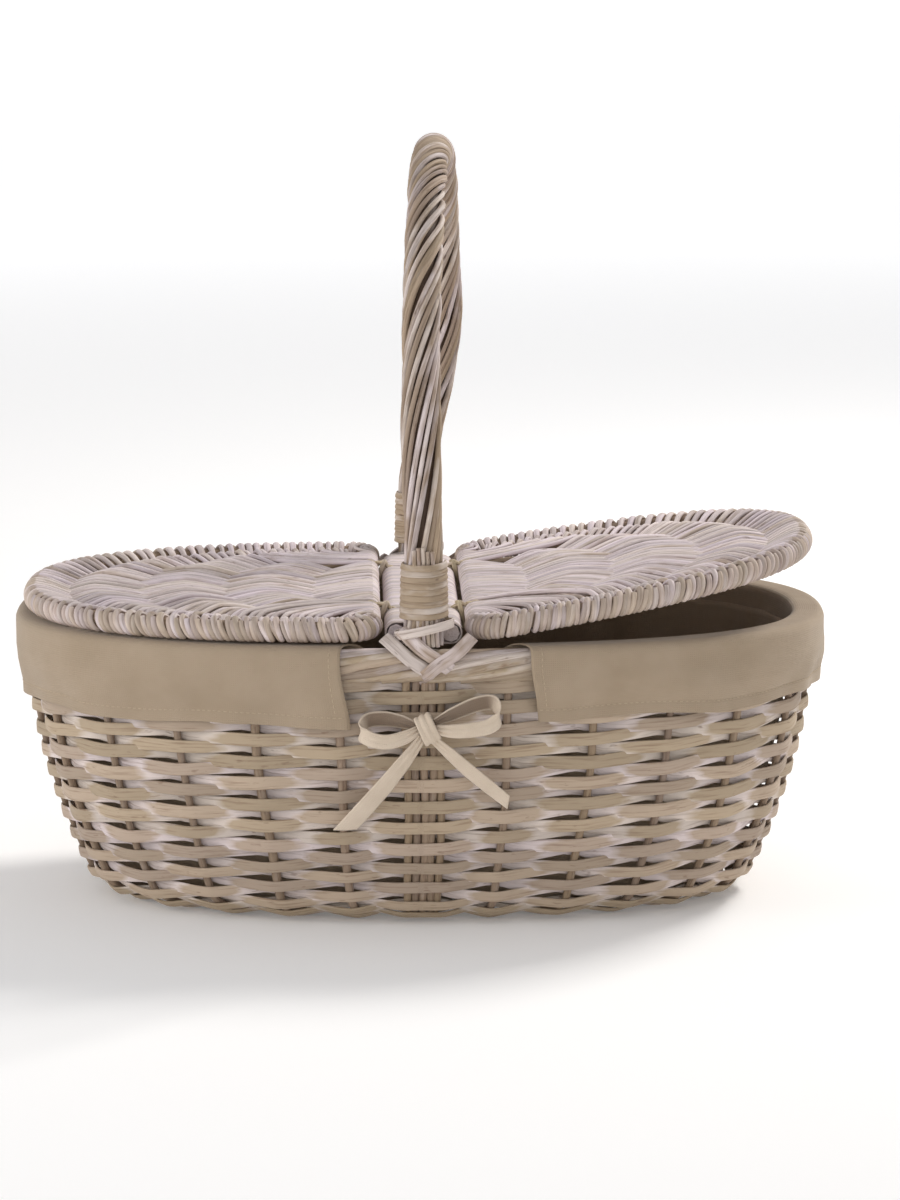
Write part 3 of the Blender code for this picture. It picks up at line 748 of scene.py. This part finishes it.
def make_hinge_loop(side, sign, end, y):
    """Two thin willow strands twisted together round a bridge rod and the hinge bar."""
    inner = np.array([sign * BRIDGE_ROD_X, BRIDGE_Z])
    outer = np.array([sign * HINGE_X, HINGE_Z])
    centre = (inner + outer) / 2.0
    along = unit(outer - inner)
    rise = np.array([-along[1], along[0]])
    outline, facing = stadium(float(np.linalg.norm(outer - inner)) / 2.0, TIE_RADIUS)
    angle = np.linspace(0.0, TAU * TIE_TURNS, len(outline), endpoint=False)
    # the loop lies under the wraps, and shows only where it crosses between them
    swell = 1.0 + 0.5 * np.exp(-(outline[:, :1] / 0.0022) ** 2)
    flat = outline[:, :1] * along + outline[:, 1:] * swell * rise + centre
    out = facing[:, :1] * along + facing[:, 1:] * rise
    strands = Strands()
    for half_turn in (0.0, math.pi):
        swing = 0.0008 * np.cos(angle + half_turn)
        side_swing = 0.0008 * np.sin(angle + half_turn)
        path = np.stack([flat[:, 0] + out[:, 0] * swing, y + side_swing,
                         flat[:, 1] + out[:, 1] * swing], -1)
        normal = np.stack([out[:, 0], 0.0 * angle, out[:, 1]], -1)
        strands.add(path, normal, TIE_STRAND, TIE_STRAND, ROUND, 0.3, closed=True)
    # its ends are wound twice round its middle
    turn = np.linspace(0.0, TAU * 2.0, 48)
    reach = WAIST_RADIUS + 0.0004 * np.sin(turn * 3.0)
    waist = centre + rise * (reach * np.cos(turn))[:, None]
    path = np.stack([waist[:, 0] + sign * 0.0010 * (turn / TAU - 1.0),
                     y + 0.0022 * np.sin(turn), waist[:, 1]], -1)
    normal = np.stack([rise[0] * np.cos(turn), np.sin(turn), rise[1] * np.cos(turn)], -1)
    strands.add(path, normal, 0.0019, 0.0017, ROUND, 0.2)
    strands.build(f"hinge_tie_{side}_{end}", TIE_WILLOW, "basket",
                  [f"hinge_loop_{side}_{end}"])


# --- the lids ---------------------------------------------------------------------------
LID_POWER = 2.4
LID_CORNER = 0.016
HOOP_RADIUS = 0.0068
LID_LENGTH = (hoop_high.x - hoop_low.x) - 2.0 * HOOP_RADIUS
LID_HALF_DEPTH = hoop_high.y - HOOP_RADIUS
RIB_REACH = (0.053, 0.097, 0.144)
RIB_WIDTH = 0.0044
LID_STRANDS = 176
LID_STRAND_BAR = 0.0021
LID_STRAND_RIM = 0.0029
TIE_PARTING = 0.0040             # how far the rods are parted round a hinge tie
BAR_RADIUS = 0.0037
RIM_CORE = 0.0041               # the hoop's own rod, just under the wraps
WRAP_REACH = 0.0053
WRAP_LEAN = 0.0020
UP = np.array([[0.0, 0.0, 1.0]])


def lid_half_depth(x, length, half_depth):
    """Half a D's depth at a distance from its straight side, with that side's corners round."""
    share = np.clip(x, 0.0, length) / length
    y = half_depth * np.maximum(0.0, 1.0 - share ** LID_POWER) ** (1.0 / LID_POWER)
    turn = np.clip((LID_CORNER - x) / LID_CORNER, 0.0, 1.0)
    return y - LID_CORNER * (1.0 - np.sqrt(1.0 - turn * turn))


def d_curve(length, half_depth, count=600):
    """A D from the front end of the hinge round the tip to the back end, evenly spaced."""
    t = np.linspace(0.0, math.pi, 3000)
    x = length * (0.5 - 0.5 * np.cos(t))
    y = -lid_half_depth(x, length, half_depth)
    x, y = np.concatenate([x, x[::-1][1:]]), np.concatenate([y, -y[::-1][1:]])
    curve = np.stack([x, y], -1)
    run = distance_along(curve)
    return sample(curve, run, np.linspace(0.0, run[-1], count))


def rib_half_depth(reach):
    """Half the depth of a rib that reaches this far from the hinge, to suit the hoop."""
    room = LID_HALF_DEPTH - HOOP_RADIUS - 0.003
    return room * (1.0 - (1.0 - reach / LID_LENGTH) ** 3)


def lid_to_basket(points, side, ajar):
    """From the lid's own frame, hinge axis along Y and tip at +X, to the basket's."""
    sign = -1.0 if side == "left" else 1.0
    x, y, z = points[..., 0], points[..., 1], points[..., 2]
    lifted_x = x * math.cos(ajar) - z * math.sin(ajar)
    lifted_z = x * math.sin(ajar) + z * math.cos(ajar)
    return np.stack([sign * (HINGE_X + lifted_x), y, HINGE_Z + lifted_z], -1)


def turned(normals, side, ajar):
    """Directions in the lid's own frame, as they point in the basket's."""
    origin = lid_to_basket(np.zeros(3), side, ajar)
    return lid_to_basket(normals, side, ajar) - origin


def lid_strand_height(flat, run, over):
    """A rod's height on its way over and under the ribs, and the side it ends on."""
    level = over
    places = [0.0]
    heights = [level * (BAR_RADIUS + LID_STRAND_BAR / 2.0)]
    for reach in RIB_REACH:
        level = -level
        depth = lid_half_depth(flat[:, 0], reach, rib_half_depth(reach))
        inside = (flat[:, 0] < reach) & (np.abs(flat[:, 1]) < depth)
        if inside[0] and not inside[-1]:
            places.append(run[np.argmin(inside)])
            heights.append(level * (RIB_WIDTH / 2.0 + 0.0014))
    level = -level
    places.append(run[-1])
    heights.append(level * WRAP_REACH)
    straight = np.interp(run, places, heights)
    blend = np.interp(run, places, np.arange(len(places)))
    before = np.floor(blend).astype(int)
    lower = np.array(heights)[before]
    upper = np.array(heights)[np.minimum(before + 1, len(heights) - 1)]
    eased = lower + (upper - lower) * smooth_step(0.0, 1.0, blend - before)
    return 0.35 * straight + 0.65 * eased, level


def lid_strand(index, rim, rim_normal):
    """One rod of the panel: round the bar, over and under the ribs, round the hoop."""
    share = (index + 0.5) / LID_STRANDS
    over = 1.0 if index % 2 == 0 else -1.0
    reach_y = rim[-1, 1] - 0.001
    start = np.array([0.0, -reach_y + 2.0 * reach_y * share])
    for tie_y in (-LOOP_Y, LOOP_Y):
        away = start[1] - tie_y
        start[1] += math.copysign(TIE_PARTING * math.exp(-abs(away) / (2.0 * TIE_PARTING)), away)
    spot = share - 0.28 * math.sin(TAU * share) / TAU + 0.0009 * random.normal()
    at = spot * (len(rim) - 1)
    end = sample(rim, np.arange(len(rim)), at)
    normal = unit(sample(rim_normal, np.arange(len(rim)), at))
    pull = 0.42 * np.linalg.norm(end - start)
    t = np.linspace(0.0, 1.0, 56)[:, None]
    first, second = start + (pull, 0.0), end - normal * pull * 0.9
    flat = ((1 - t) ** 3 * start + 3 * (1 - t) ** 2 * t * first
            + 3 * (1 - t) * t ** 2 * second + t ** 3 * end)
    run = distance_along(flat)
    z, level = lid_strand_height(flat, run, over)
    middle = np.sin(math.pi * run / run[-1])
    z = z + 0.0005 * random.normal() * middle
    body = np.concatenate([flat, z[:, None]], axis=1)
    body[:, 1] += 0.0006 * random.normal() * middle

    # the rod's end goes round the hoop, and its start round the hinge bar
    reach = WRAP_REACH
    angle = np.radians(np.linspace(90.0, -75.0 if level > 0.0 else -50.0, 12)[1:]) * level
    wrap = np.stack([end[0] + normal[0] * reach * np.cos(angle),
                     end[1] + normal[1] * reach * np.cos(angle), reach * np.sin(angle)], -1)
    lean = np.array([-normal[1], normal[0]]) * (WRAP_LEAN + 0.0004 * random.normal())
    wrap[:, :2] += lean * np.sin(angle)[:, None]
    wrap_facing = np.stack([normal[0] * np.cos(angle), normal[1] * np.cos(angle),
                            np.sin(angle)], -1)
    body[:, :2] += lean * smooth_step(run[-1] - 0.02, run[-1], run)[:, None] * level
    reach = BAR_RADIUS + LID_STRAND_BAR / 2.0
    angle = np.radians(np.linspace(-70.0, 90.0, 10)[:-1]) * over
    root = np.stack([-reach * np.cos(angle), np.full_like(angle, start[1]),
                     reach * np.sin(angle)], -1)
    root_facing = np.stack([-np.cos(angle), 0.0 * angle, np.sin(angle)], -1)
    path = np.concatenate([root, body, wrap])
    facing = np.concatenate([root_facing, np.repeat(UP, len(body), axis=0), wrap_facing])
    width = np.concatenate([np.full(len(root), LID_STRAND_BAR),
                            LID_STRAND_BAR + (LID_STRAND_RIM - LID_STRAND_BAR)
                            * smooth_step(0.0, 0.06, run)
                            + 0.0006 * smooth_step(run[-1] - 0.012, run[-1], run),
                            LID_STRAND_RIM + 0.0006 * np.linspace(1.0, 0.3, len(wrap))])
    # painted shade: the wraps round the hoop are left bare and so darker, for the rim's front edge
    # that faces down away from the light; the bar's and the panel's amounts are the wash's own
    wash_and_rim_shade = np.repeat([0.5, 0.6, 0.0], [len(root), len(body), len(wrap)])
    return path, facing, width, wash_and_rim_shade


def make_lid(side, ajar):
    body = f"lid_{side}"
    rim = d_curve(LID_LENGTH, LID_HALF_DEPTH)
    tangent = unit(np.gradient(rim, axis=0))
    rim_normal = np.stack([tangent[:, 1], -tangent[:, 0]], -1)
    strands = Strands()
    for index in range(LID_STRANDS):
        # each rod's wash, with painted shade on its wraps round the hoop
        path, facing, width, wash_and_rim_shade = lid_strand(index, rim, rim_normal)
        width = width * (1.0 + 0.09 * random.normal())
        strands.add(lid_to_basket(path, side, ajar), turned(facing, side, ajar),
                    width, np.minimum(width * 0.92, 0.0030), ROUND, wash_and_rim_shade + 0.2 * random.normal())
    strands.build(f"lid_{side}_strands", LID_WILLOW, body,
                  [f"lid_{side}_weave"])

    hoop = Strands()
    hoop.add(lid_to_basket(upright(rim), side, ajar), turned(UP, side, ajar),
             2 * RIM_CORE, 2 * RIM_CORE)
    hoop.build(f"lid_{side}_hoop_rod", STAKE_WILLOW, body,
               [f"lid_{side}_hoop"])
    bar = Strands()
    y = np.linspace(rim[0, 1], rim[-1, 1], 40)
    line = np.stack([0.0 * y, y, 0.0 * y], -1)
    bar.add(lid_to_basket(line, side, ajar), turned(UP, side, ajar),
            2 * BAR_RADIUS, 2 * BAR_RADIUS, ROUND, 0.5)
    bar.build(f"lid_{side}_bar_rod", STAKE_WILLOW, body,
              [f"lid_{side}_hinge_bar"])
    for number, reach in enumerate(RIB_REACH, start=1):
        rib = Strands()
        line = upright(d_curve(reach, rib_half_depth(reach), 160))
        rib.add(lid_to_basket(line, side, ajar), turned(UP, side, ajar),
                RIB_WIDTH, RIB_WIDTH, ROUND, 0.5)
        rib.build(f"lid_{side}_rib_rod_{number}", STAKE_WILLOW, body,
                  [f"lid_{side}_rib_{number}"])


# --- cloth --------------------------------------------------------------------------------
CLOTH = 0.0009


def cloth_sheet(name, grid, coords, material, replaces, thickness=CLOTH):
    """A sheet from a grid of points; coords are along and across the cloth in metres,
    and, where given, how much painted shade the cloth there takes, for the inside of a fold."""
    rows, columns = grid.shape[:2]
    i, j = np.meshgrid(np.arange(rows - 1), np.arange(columns - 1), indexing="ij")
    a = (i * columns + j).ravel()
    faces = np.stack([a, a + 1, a + columns + 1, a + columns], -1)
    mesh = bpy.data.meshes.new(name)
    mesh.from_pydata(grid.reshape(-1, 3).tolist(), [], faces.tolist())
    flat = np.zeros((rows * columns, 3))
    flat[:, :coords.shape[-1]] = coords.reshape(rows * columns, -1)
    mesh.attributes.new("grain", "FLOAT_VECTOR", "POINT").data.foreach_set(
        "vector", flat.ravel())
    mesh.shade_smooth()
    obj = place(name, mesh, material, "basket", replaces)
    solid = obj.modifiers.new("thickness", "SOLIDIFY")
    solid.thickness = thickness
    solid.offset = 0.0
    return obj


CUFF = {"left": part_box("liner_cuff_left"), "right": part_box("liner_cuff_right")}
CUFF_EDGE = {"left": CUFF["left"][1].x, "right": CUFF["right"][0].x}
HEM = 0.0060
STITCH_START = 0.026             # how far across a cuff the stitching up its ends starts
STITCH_PITCH = 0.0030
CUFF_SKEW = {"left": 0.11, "right": -0.10}   # how far a free edge hangs askew, in stakes
CUFF_INSIDE = 0.30               # how far its ends draw in inside the border, in stakes
CUFF_OUT = 0.0017                # how far it stands out past the border, and in past it
CUFF_IN = 0.0150
CUFF_ROUND = 0.0032              # the rounding of its fold over the border's edges
CUFF_DEPTH = 0.0095              # how far down inside it is seen
CUFF_SEAM = 0.0130               # how far a cuff goes on down inside, sewn to the bag


def cuff_range(side):
    """Where a cuff starts and ends round the plan, in stakes from the front's middle."""
    angle = math.acos(float(signed_power(np.array(CUFF_EDGE[side] / RIM_X), PLAN_POWER / 2.0)))
    if side == "right":
        front = float(np.interp(-angle, PLAN_ANGLE, PLAN_S))
        return front, float(np.interp(angle, PLAN_ANGLE, PLAN_S))
    return (float(np.interp(angle, PLAN_ANGLE, PLAN_S)),
            float(np.interp(TAU - angle, PLAN_ANGLE, PLAN_S)))


def cuff_profile(drop):
    """Offset and height across the cloth: up inside, over the border and down the wall."""
    proud, inner = BORDER_PROUD + CUFF_OUT, BORDER_PROUD - CUFF_IN
    top = RIM_TOP + 0.0010
    wall = wall_offset(drop)
    return np.array([
        (inner - 0.0010, top - CUFF_DEPTH - CUFF_SEAM),
        (inner, top - CUFF_DEPTH),
        (inner, top - CUFF_ROUND),
        (inner + CUFF_ROUND * 0.3, top - CUFF_ROUND * 0.3),
        (inner + CUFF_ROUND, top),
        (proud - CUFF_ROUND, top),
        (proud - CUFF_ROUND * 0.3, top - CUFF_ROUND * 0.3),
        (proud, top - CUFF_ROUND),
        (proud, BORDER_BOTTOM + 0.003),
        (proud - 0.0010, BORDER_BOTTOM - 0.004),
        (wall + 0.0016, drop + 0.006),
        (wall + 0.0012, drop)])


def make_cuff(side):
    """A turned-down collar of the liner, with a sewn hem and soft waves."""
    start, end = cuff_range(side)
    s = np.linspace(start, end, 260)
    corners = cuff_profile(CUFF[side][0].z)
    run = distance_along(corners)
    across_hem = np.array([0.03, 0.08, 0.3, 0.6, 0.85, 0.97, 1.0])
    even = np.concatenate([np.linspace(0.0, run[-1] - HEM, 54),
                           run[-1] - HEM + HEM * across_hem])
    offset, z = sample(corners, run, even).T
    # soft, shallow waves that grow towards the free edge
    free = smooth_step(CUFF_SEAM + 0.03, run[-1], even)[:, None]
    arc = s[None, :] * STAKE_SPACING
    waves = (0.0011 * np.sin(arc * 46.0 + 0.6) + 0.0008 * np.sin(arc * 83.0 + 2.0)
             + 0.0005 * np.sin(arc * 151.0 + even[:, None] * 60.0))
    hem = smooth_step(run[-1] - HEM, run[-1] - HEM + 0.0006, even)[:, None]
    stitch = np.exp(-((even - (run[-1] - HEM)) / 0.0007) ** 2)[:, None]
    edge = np.minimum(s - start, end - s) * STAKE_SPACING
    side_hem = smooth_step(HEM, HEM - 0.0006, edge)[None, :]
    side_stitch = np.exp(-((edge - HEM) / 0.0007) ** 2)[None, :]
    hanging = smooth_step(CUFF_SEAM + 0.022, CUFF_SEAM + 0.030, even)[:, None]
    out = (offset[:, None] + free * (1.6 * waves + 0.0010)
           + 0.0001 * hem + 0.0006 * side_hem * hanging
           - 0.0001 * stitch - 0.0004 * side_stitch * hanging)
    # towards the middle inside the border, and a little askew at the free edge
    near_end = (np.exp(-(end - s) / 0.4) - np.exp(-(s - start) / 0.4))[None, :]
    inside = smooth_step(CUFF_SEAM + 0.016, CUFF_SEAM + 0.002, even)[:, None]
    skew = CUFF_SKEW[side] * free + CUFF_INSIDE * inside
    grid_s = s[None, :] + skew * near_end
    x, y, _, _ = plan(grid_s, out)
    height = z[:, None] + free * 0.0009 * np.sin(arc * 60.0 + 1.0)
    grid = np.stack([x, y, np.broadcast_to(height, x.shape)], -1)
    coords = np.stack([np.broadcast_to(arc, x.shape),
                       np.broadcast_to(even[:, None], x.shape)], -1)
    obj = cloth_sheet(f"cuff_{side}", grid, coords, LINER_COTTON,
                      [f"liner_cuff_{side}"])
    stitches = make_stitches(f"cuff_{side}_stitches", grid, even, arc[0] - arc[0, 0])


def make_stitches(name, grid, across, along):
    """A row of thread stitches along the cuff's hem and up both of its ends."""
    strands = Strands()
    first = int(np.argmin(np.abs(across - STITCH_START)))
    row = int(np.argmin(np.abs(across - (across[-1] - HEM))))
    lines = [grid[row]]
    for target in (HEM, along[-1] - HEM):
        column = int(np.argmin(np.abs(along - target)))
        lines.append(grid[first:row + 1, column])
    for line in lines:
        run = distance_along(line)
        for at in np.arange(0.002, run[-1] - 0.002, STITCH_PITCH):
            spots = sample(line, run, at + np.linspace(-0.0009, 0.0009, 4))
            outward = unit(spots.mean(0) * (1.0, 1.0, 0.0))
            lift = np.array([0.0, 0.0004, 0.0004, 0.0])[:, None]
            strands.add(spots + outward * (0.0003 + lift), outward, 0.00045, 0.0004)
    return strands.build(name, THREAD, "basket")


BAG_INSET = 0.0152               # from the wall's outer face to the bag


def make_bag():
    """The bag inside: a gathered wall with upright folds, and a laid bottom."""
    low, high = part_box("liner_wall")
    bottom_low, bottom_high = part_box("liner_bottom")
    columns, rows = 420, 40
    s = np.linspace(0.0, STAKES, columns)
    z = np.linspace(low.z, high.z, rows)
    arc = s[None, :] * STAKE_SPACING
    share = ((z - low.z) / (high.z - low.z))[:, None]
    folds = (np.sin(TAU * 31 * s / STAKES)[None, :] * 0.0011
             + np.sin(TAU * 53 * s / STAKES + 1.3)[None, :] * 0.0006)
    fullness = 0.35 + 0.65 * np.sin(math.pi * share)
    out = wall_offset(z)[:, None] - BAG_INSET + folds * fullness
    x, y, _, _ = plan(np.broadcast_to(s[None, :], out.shape), out)
    grid = np.stack([x, y, np.broadcast_to(z[:, None], x.shape)], -1)
    grid[:, -1] = grid[:, 0]
    coords = np.stack([np.broadcast_to(arc, x.shape), np.broadcast_to(z[:, None], x.shape)], -1)
    wall = cloth_sheet("bag_wall", grid, coords, LINER_COTTON, ["liner_wall"])

    edge = bottom_high.x
    rings = np.linspace(0.02, 1.0, 30)[:, None]
    offset = edge - RIM_X
    x, y, _, _ = plan(np.broadcast_to(s[None, :], (30, columns)), np.full((30, columns), offset))
    height = bottom_low.z + 0.0006 + 0.0008 * np.sin(x * rings * 70.0) * np.cos(y * rings * 55.0) ** 2
    grid = np.stack([x * rings, y * rings, height], -1)
    coords = grid[..., :2].copy()
    grid[:, -1] = grid[:, 0]
    floor = cloth_sheet("bag_bottom", grid, coords, LINER_COTTON,
                        ["liner_bottom"])


# --- the bows -------------------------------------------------------------------------------
RIBBON = 0.0090


def smooth_path(points, count=60):
    """A smooth curve through a few points: a Catmull-Rom spline, evenly spaced."""
    p = np.array([points[0], *points, points[-1]], dtype=float)
    pieces = []
    for a, b, c, d in zip(p, p[1:], p[2:], p[3:]):
        t = np.linspace(0.0, 1.0, 24, endpoint=False)[:, None]
        pieces.append(0.5 * (2 * b + (c - a) * t + (2 * a - 5 * b + 4 * c - d) * t ** 2
                             + (3 * b - a - 3 * c + d) * t ** 3))
    path = np.concatenate([*pieces, p[-1:]])
    run = distance_along(path)
    return sample(path, run, np.linspace(0.0, run[-1], count))


def ribbon(name, points, across, widths, replaces, mirror, folds=0.0, slant=0.0, inside=0.0):
    """A tape along the points; across is the direction of its width, folds run along it, and inside
    is how much painted shade its back half takes.
    """
    path = smooth_path(points)
    count = len(path)
    tangent = unit(np.gradient(path, axis=0))
    across = np.broadcast_to(np.array(across, dtype=float), path.shape)
    wide = unit(across - tangent * (across * tangent).sum(1, keepdims=True))
    facing = np.cross(tangent, wide)
    steps = np.linspace(-0.5, 0.5, 17)
    along = np.linspace(0.0, 1.0, count)
    width = np.interp(along, np.linspace(0.0, 1.0, len(widths)), widths)
    run = distance_along(path)
    pinch = (1.0 - width / max(widths))[:, None]
    rise = (0.0004 * (1.0 - (2.0 * steps) ** 2)[None, :]
            + (folds + 0.0022 * pinch) * np.cos(TAU * 2.5 * steps + 0.4)[None, :] * 0.5)
    cut = slant * steps[None, :] * smooth_step(0.8, 1.0, along)[:, None]
    grid = (path[:, None, :] + wide[:, None, :] * (steps[None, :] * width[:, None])[..., None]
            + facing[:, None, :] * rise[..., None] + tangent[:, None, :] * cut[..., None])
    if mirror:
        grid = grid * (-1.0, -1.0, 1.0)
    # painted shade: the back half of a loop is darkened, less so at the tape's edges
    edge = 1.0 - 0.9 * smooth_step(0.38, 0.5, np.abs(steps))[None, :]
    shaded = inside * smooth_step(0.52, 0.62, along)[:, None] * edge
    coords = np.stack(np.broadcast_arrays(run[:, None], steps[None, :] * RIBBON, shaded), -1)
    obj = cloth_sheet(name, grid, coords, RIBBON_COTTON, replaces, 0.0007)


def make_bow(face, mirror):
    """A bow of cotton tape: a knot, two open loops and two tails laid on the wall."""
    y = -RIM_Y
    # the loops' backs lean out over their fronts, so their insides are shaded, and they also take
    # painted shade
    turn = smooth_step(0.35, 0.65, np.linspace(0.0, 1.0, 60))[:, None]
    across = (1.0 - turn) * np.array([0.0, 0.1, 1.0]) + turn * np.array([0.0, -0.45, 1.0])
    loops = {
        "right": [(0.006, y - 0.0072, 0.1118), (0.014, y - 0.0095, 0.1113),
                  (0.024, y - 0.0102, 0.1120), (0.033, y - 0.0094, 0.1138),
                  (0.0372, y - 0.0068, 0.1178), (0.0352, y - 0.0040, 0.1245),
                  (0.027, y - 0.0030, 0.1240), (0.015, y - 0.0034, 0.1192),
                  (0.005, y - 0.0048, 0.1148)],
        "left": [(-0.003, y - 0.0072, 0.1115), (-0.010, y - 0.0098, 0.1082),
                 (-0.019, y - 0.0108, 0.1060), (-0.0275, y - 0.0095, 0.1072),
                 (-0.0325, y - 0.0060, 0.1105), (-0.0292, y - 0.0024, 0.1155),
                 (-0.020, y - 0.0014, 0.1164), (-0.010, y - 0.0028, 0.1148),
                 (-0.003, y - 0.0045, 0.1127)],
    }
    for side, points in loops.items():
        ribbon(f"bow_{face}_ribbon_loop_{side}", points, across,
               (0.0045, 0.0068, 0.0074, 0.0074, RIBBON, RIBBON, RIBBON, 0.0078, 0.0045),
               [f"bow_{face}_loop_{side}"], mirror, inside=0.8)

    ribbon(f"bow_{face}_ribbon_tail_left",
           [(-0.001, y - 0.0062, 0.1080), (-0.009, y - 0.0066, 0.0970),
            (-0.020, y - 0.0035, 0.0825), (-0.031, y + 0.0010, 0.0690),
            (-0.0405, y + 0.0085, 0.0570)], (1.0, 0.3, -0.60),
           (0.0045, 0.0078, 0.0092, 0.0096, 0.0096), [f"bow_{face}_tail_left"], mirror,
           slant=-0.0075)
    ribbon(f"bow_{face}_ribbon_tail_right",
           [(0.003, y - 0.0062, 0.1080), (0.012, y - 0.0064, 0.1000),
            (0.022, y - 0.0046, 0.0905), (0.034, y - 0.0015, 0.0800),
            (0.0430, y + 0.0020, 0.0722)], (0.6, -0.75, 0.8),
           (0.0045, 0.0080, 0.0092, RIBBON, 0.0078), [f"bow_{face}_tail_right"], mirror,
           slant=-0.0060)

    lean = np.array([0.42, 0.0, -0.91])
    turn = np.linspace(-0.25, 1.02, 16) * TAU
    centre = np.array([0.0016, y - 0.0058, 0.1118])
    knot = [centre - lean * 0.0072 * math.cos(a) + np.array([0.0, -0.0042, 0.0]) * math.sin(a)
            for a in turn]
    ribbon(f"bow_{face}_ribbon_knot", knot, (0.91, 0.0, 0.42), (0.0082, 0.0088, 0.0082),
           [f"bow_{face}_knot"], mirror, folds=0.0007)


# --- the stage: floor, lights and camera ------------------------------------------------------
def area_light(name, place_at, target, size, power, colour=(1.0, 1.0, 1.0)):
    data = bpy.data.lights.new(name, "AREA")
    data.size = size
    data.energy = power
    data.color = colour
    light = bpy.data.objects.new(name, data)
    bpy.context.scene.collection.objects.link(light)
    light.location = place_at
    light.rotation_euler = (Vector(target) - Vector(place_at)).to_track_quat("-Z", "Y").to_euler()


FLOOR_RADIUS = 16.0
FLOOR_BEND = 2.0
FLOOR_SIDES = 96
WALL_TOP = 3.0
PAPER_GLOW = (0.12, 0.56)        # near the basket and far from it,
GLOW_REACH = (1.0, 4.0)          # at these distances


def floor_paper():
    """White paper that gives off a little light of its own, and more of it further away."""
    n = Nodes("floor_paper", 0.9)
    spot = n.split(n.node("ShaderNodeTexCoord").outputs["Object"])
    square = n.math("ADD", n.math("MULTIPLY", spot[0], spot[0]),
                    n.math("MULTIPLY", spot[1], spot[1]))
    n.feed(n.shader.inputs["Emission Color"], (1.0, 1.0, 1.0, 1.0))
    n.feed(n.shader.inputs["Emission Strength"],
           n.between(n.math("SQRT", square), *GLOW_REACH, *PAPER_GLOW))
    return n.finish(rgb(246, 245, 244))


def make_stage():
    """A round sweep of white paper: a floor that curves up into a wall all round it."""
    rise = np.linspace(0.0, math.pi / 2, 16)
    profile = [*zip(FLOOR_RADIUS + FLOOR_BEND * np.sin(rise), FLOOR_BEND * (1.0 - np.cos(rise))),
               (FLOOR_RADIUS + FLOOR_BEND, WALL_TOP)]
    turns = np.linspace(0.0, TAU, FLOOR_SIDES, endpoint=False)
    points = [(r * math.cos(a), r * math.sin(a), z) for r, z in profile for a in turns]
    faces = [tuple(range(FLOOR_SIDES))]
    for ring in range(len(profile) - 1):
        for i in range(FLOOR_SIDES):
            a, b = ring * FLOOR_SIDES + i, ring * FLOOR_SIDES + (i + 1) % FLOOR_SIDES
            faces.append((a, a + FLOOR_SIDES, b + FLOOR_SIDES, b))
    mesh = bpy.data.meshes.new("floor")
    mesh.from_pydata(points, [], faces)
    mesh.shade_smooth()
    mesh.polygons[0].use_smooth = False
    mesh.materials.append(floor_paper())
    floor = bpy.data.objects.new("floor", mesh)
    bpy.context.scene.collection.objects.link(floor)

    middle = (0.0, 0.0, 0.15)
    area_light("key", (1.2, 1.0, 1.6), middle, 0.6, 34.0, (1.0, 0.97, 0.93))
    area_light("fill_left", (-1.9, -0.6, 0.6), middle, 1.0, 14.0, (0.98, 0.97, 0.97))
    area_light("fill_front", (-0.2, -2.4, 1.0), middle, 1.4, 6.0, (1.0, 0.98, 0.96))
    world = bpy.data.worlds.new("studio")
    world.use_nodes = True
    background = world.node_tree.nodes["Background"]
    background.inputs["Color"].default_value = (0.96, 0.97, 1.0, 1.0)
    background.inputs["Strength"].default_value = 0.46
    bpy.context.scene.world = world
    bpy.context.scene.view_settings.view_transform = "Standard"


CAMERA_DISTANCE = 2.6
CAMERA_AZIMUTH = math.radians(-1.2)
CAMERA_ELEVATION = math.radians(9.0)
FRAME_HEIGHT = 0.643             # metres across the frame's long side, at the basket
LOOK_AT = (0.0160, 0.0, 0.1546)


def make_camera():
    data = bpy.data.cameras.new("camera")
    data.sensor_width = 36.0
    data.lens = data.sensor_width * CAMERA_DISTANCE / FRAME_HEIGHT
    camera = bpy.data.objects.new("camera", data)
    bpy.context.scene.collection.objects.link(camera)
    back = Vector((math.sin(CAMERA_AZIMUTH) * math.cos(CAMERA_ELEVATION),
                   -math.cos(CAMERA_AZIMUTH) * math.cos(CAMERA_ELEVATION),
                   math.sin(CAMERA_ELEVATION)))
    camera.location = Vector(LOOK_AT) + back * CAMERA_DISTANCE
    camera.rotation_euler = (-back).to_track_quat("-Z", "Y").to_euler()
    bpy.context.scene.camera = camera


def ajar_angle(joint_name):
    """How far a lid stands open at rest, from how far its joint can still close."""
    joint = next(j for j in frame["joints"] if j["name"] == joint_name)
    return math.radians(-joint["range_deg"][0])


make_camera()
make_stage()
make_wall()
make_border()
make_handle()
make_bridge()
make_lid("left", ajar_angle("lid_left_hinge"))
make_lid("right", ajar_angle("lid_right_hinge"))
make_cuff("left")
make_cuff("right")
make_bag()
make_bow("front", False)
make_bow("back", True)
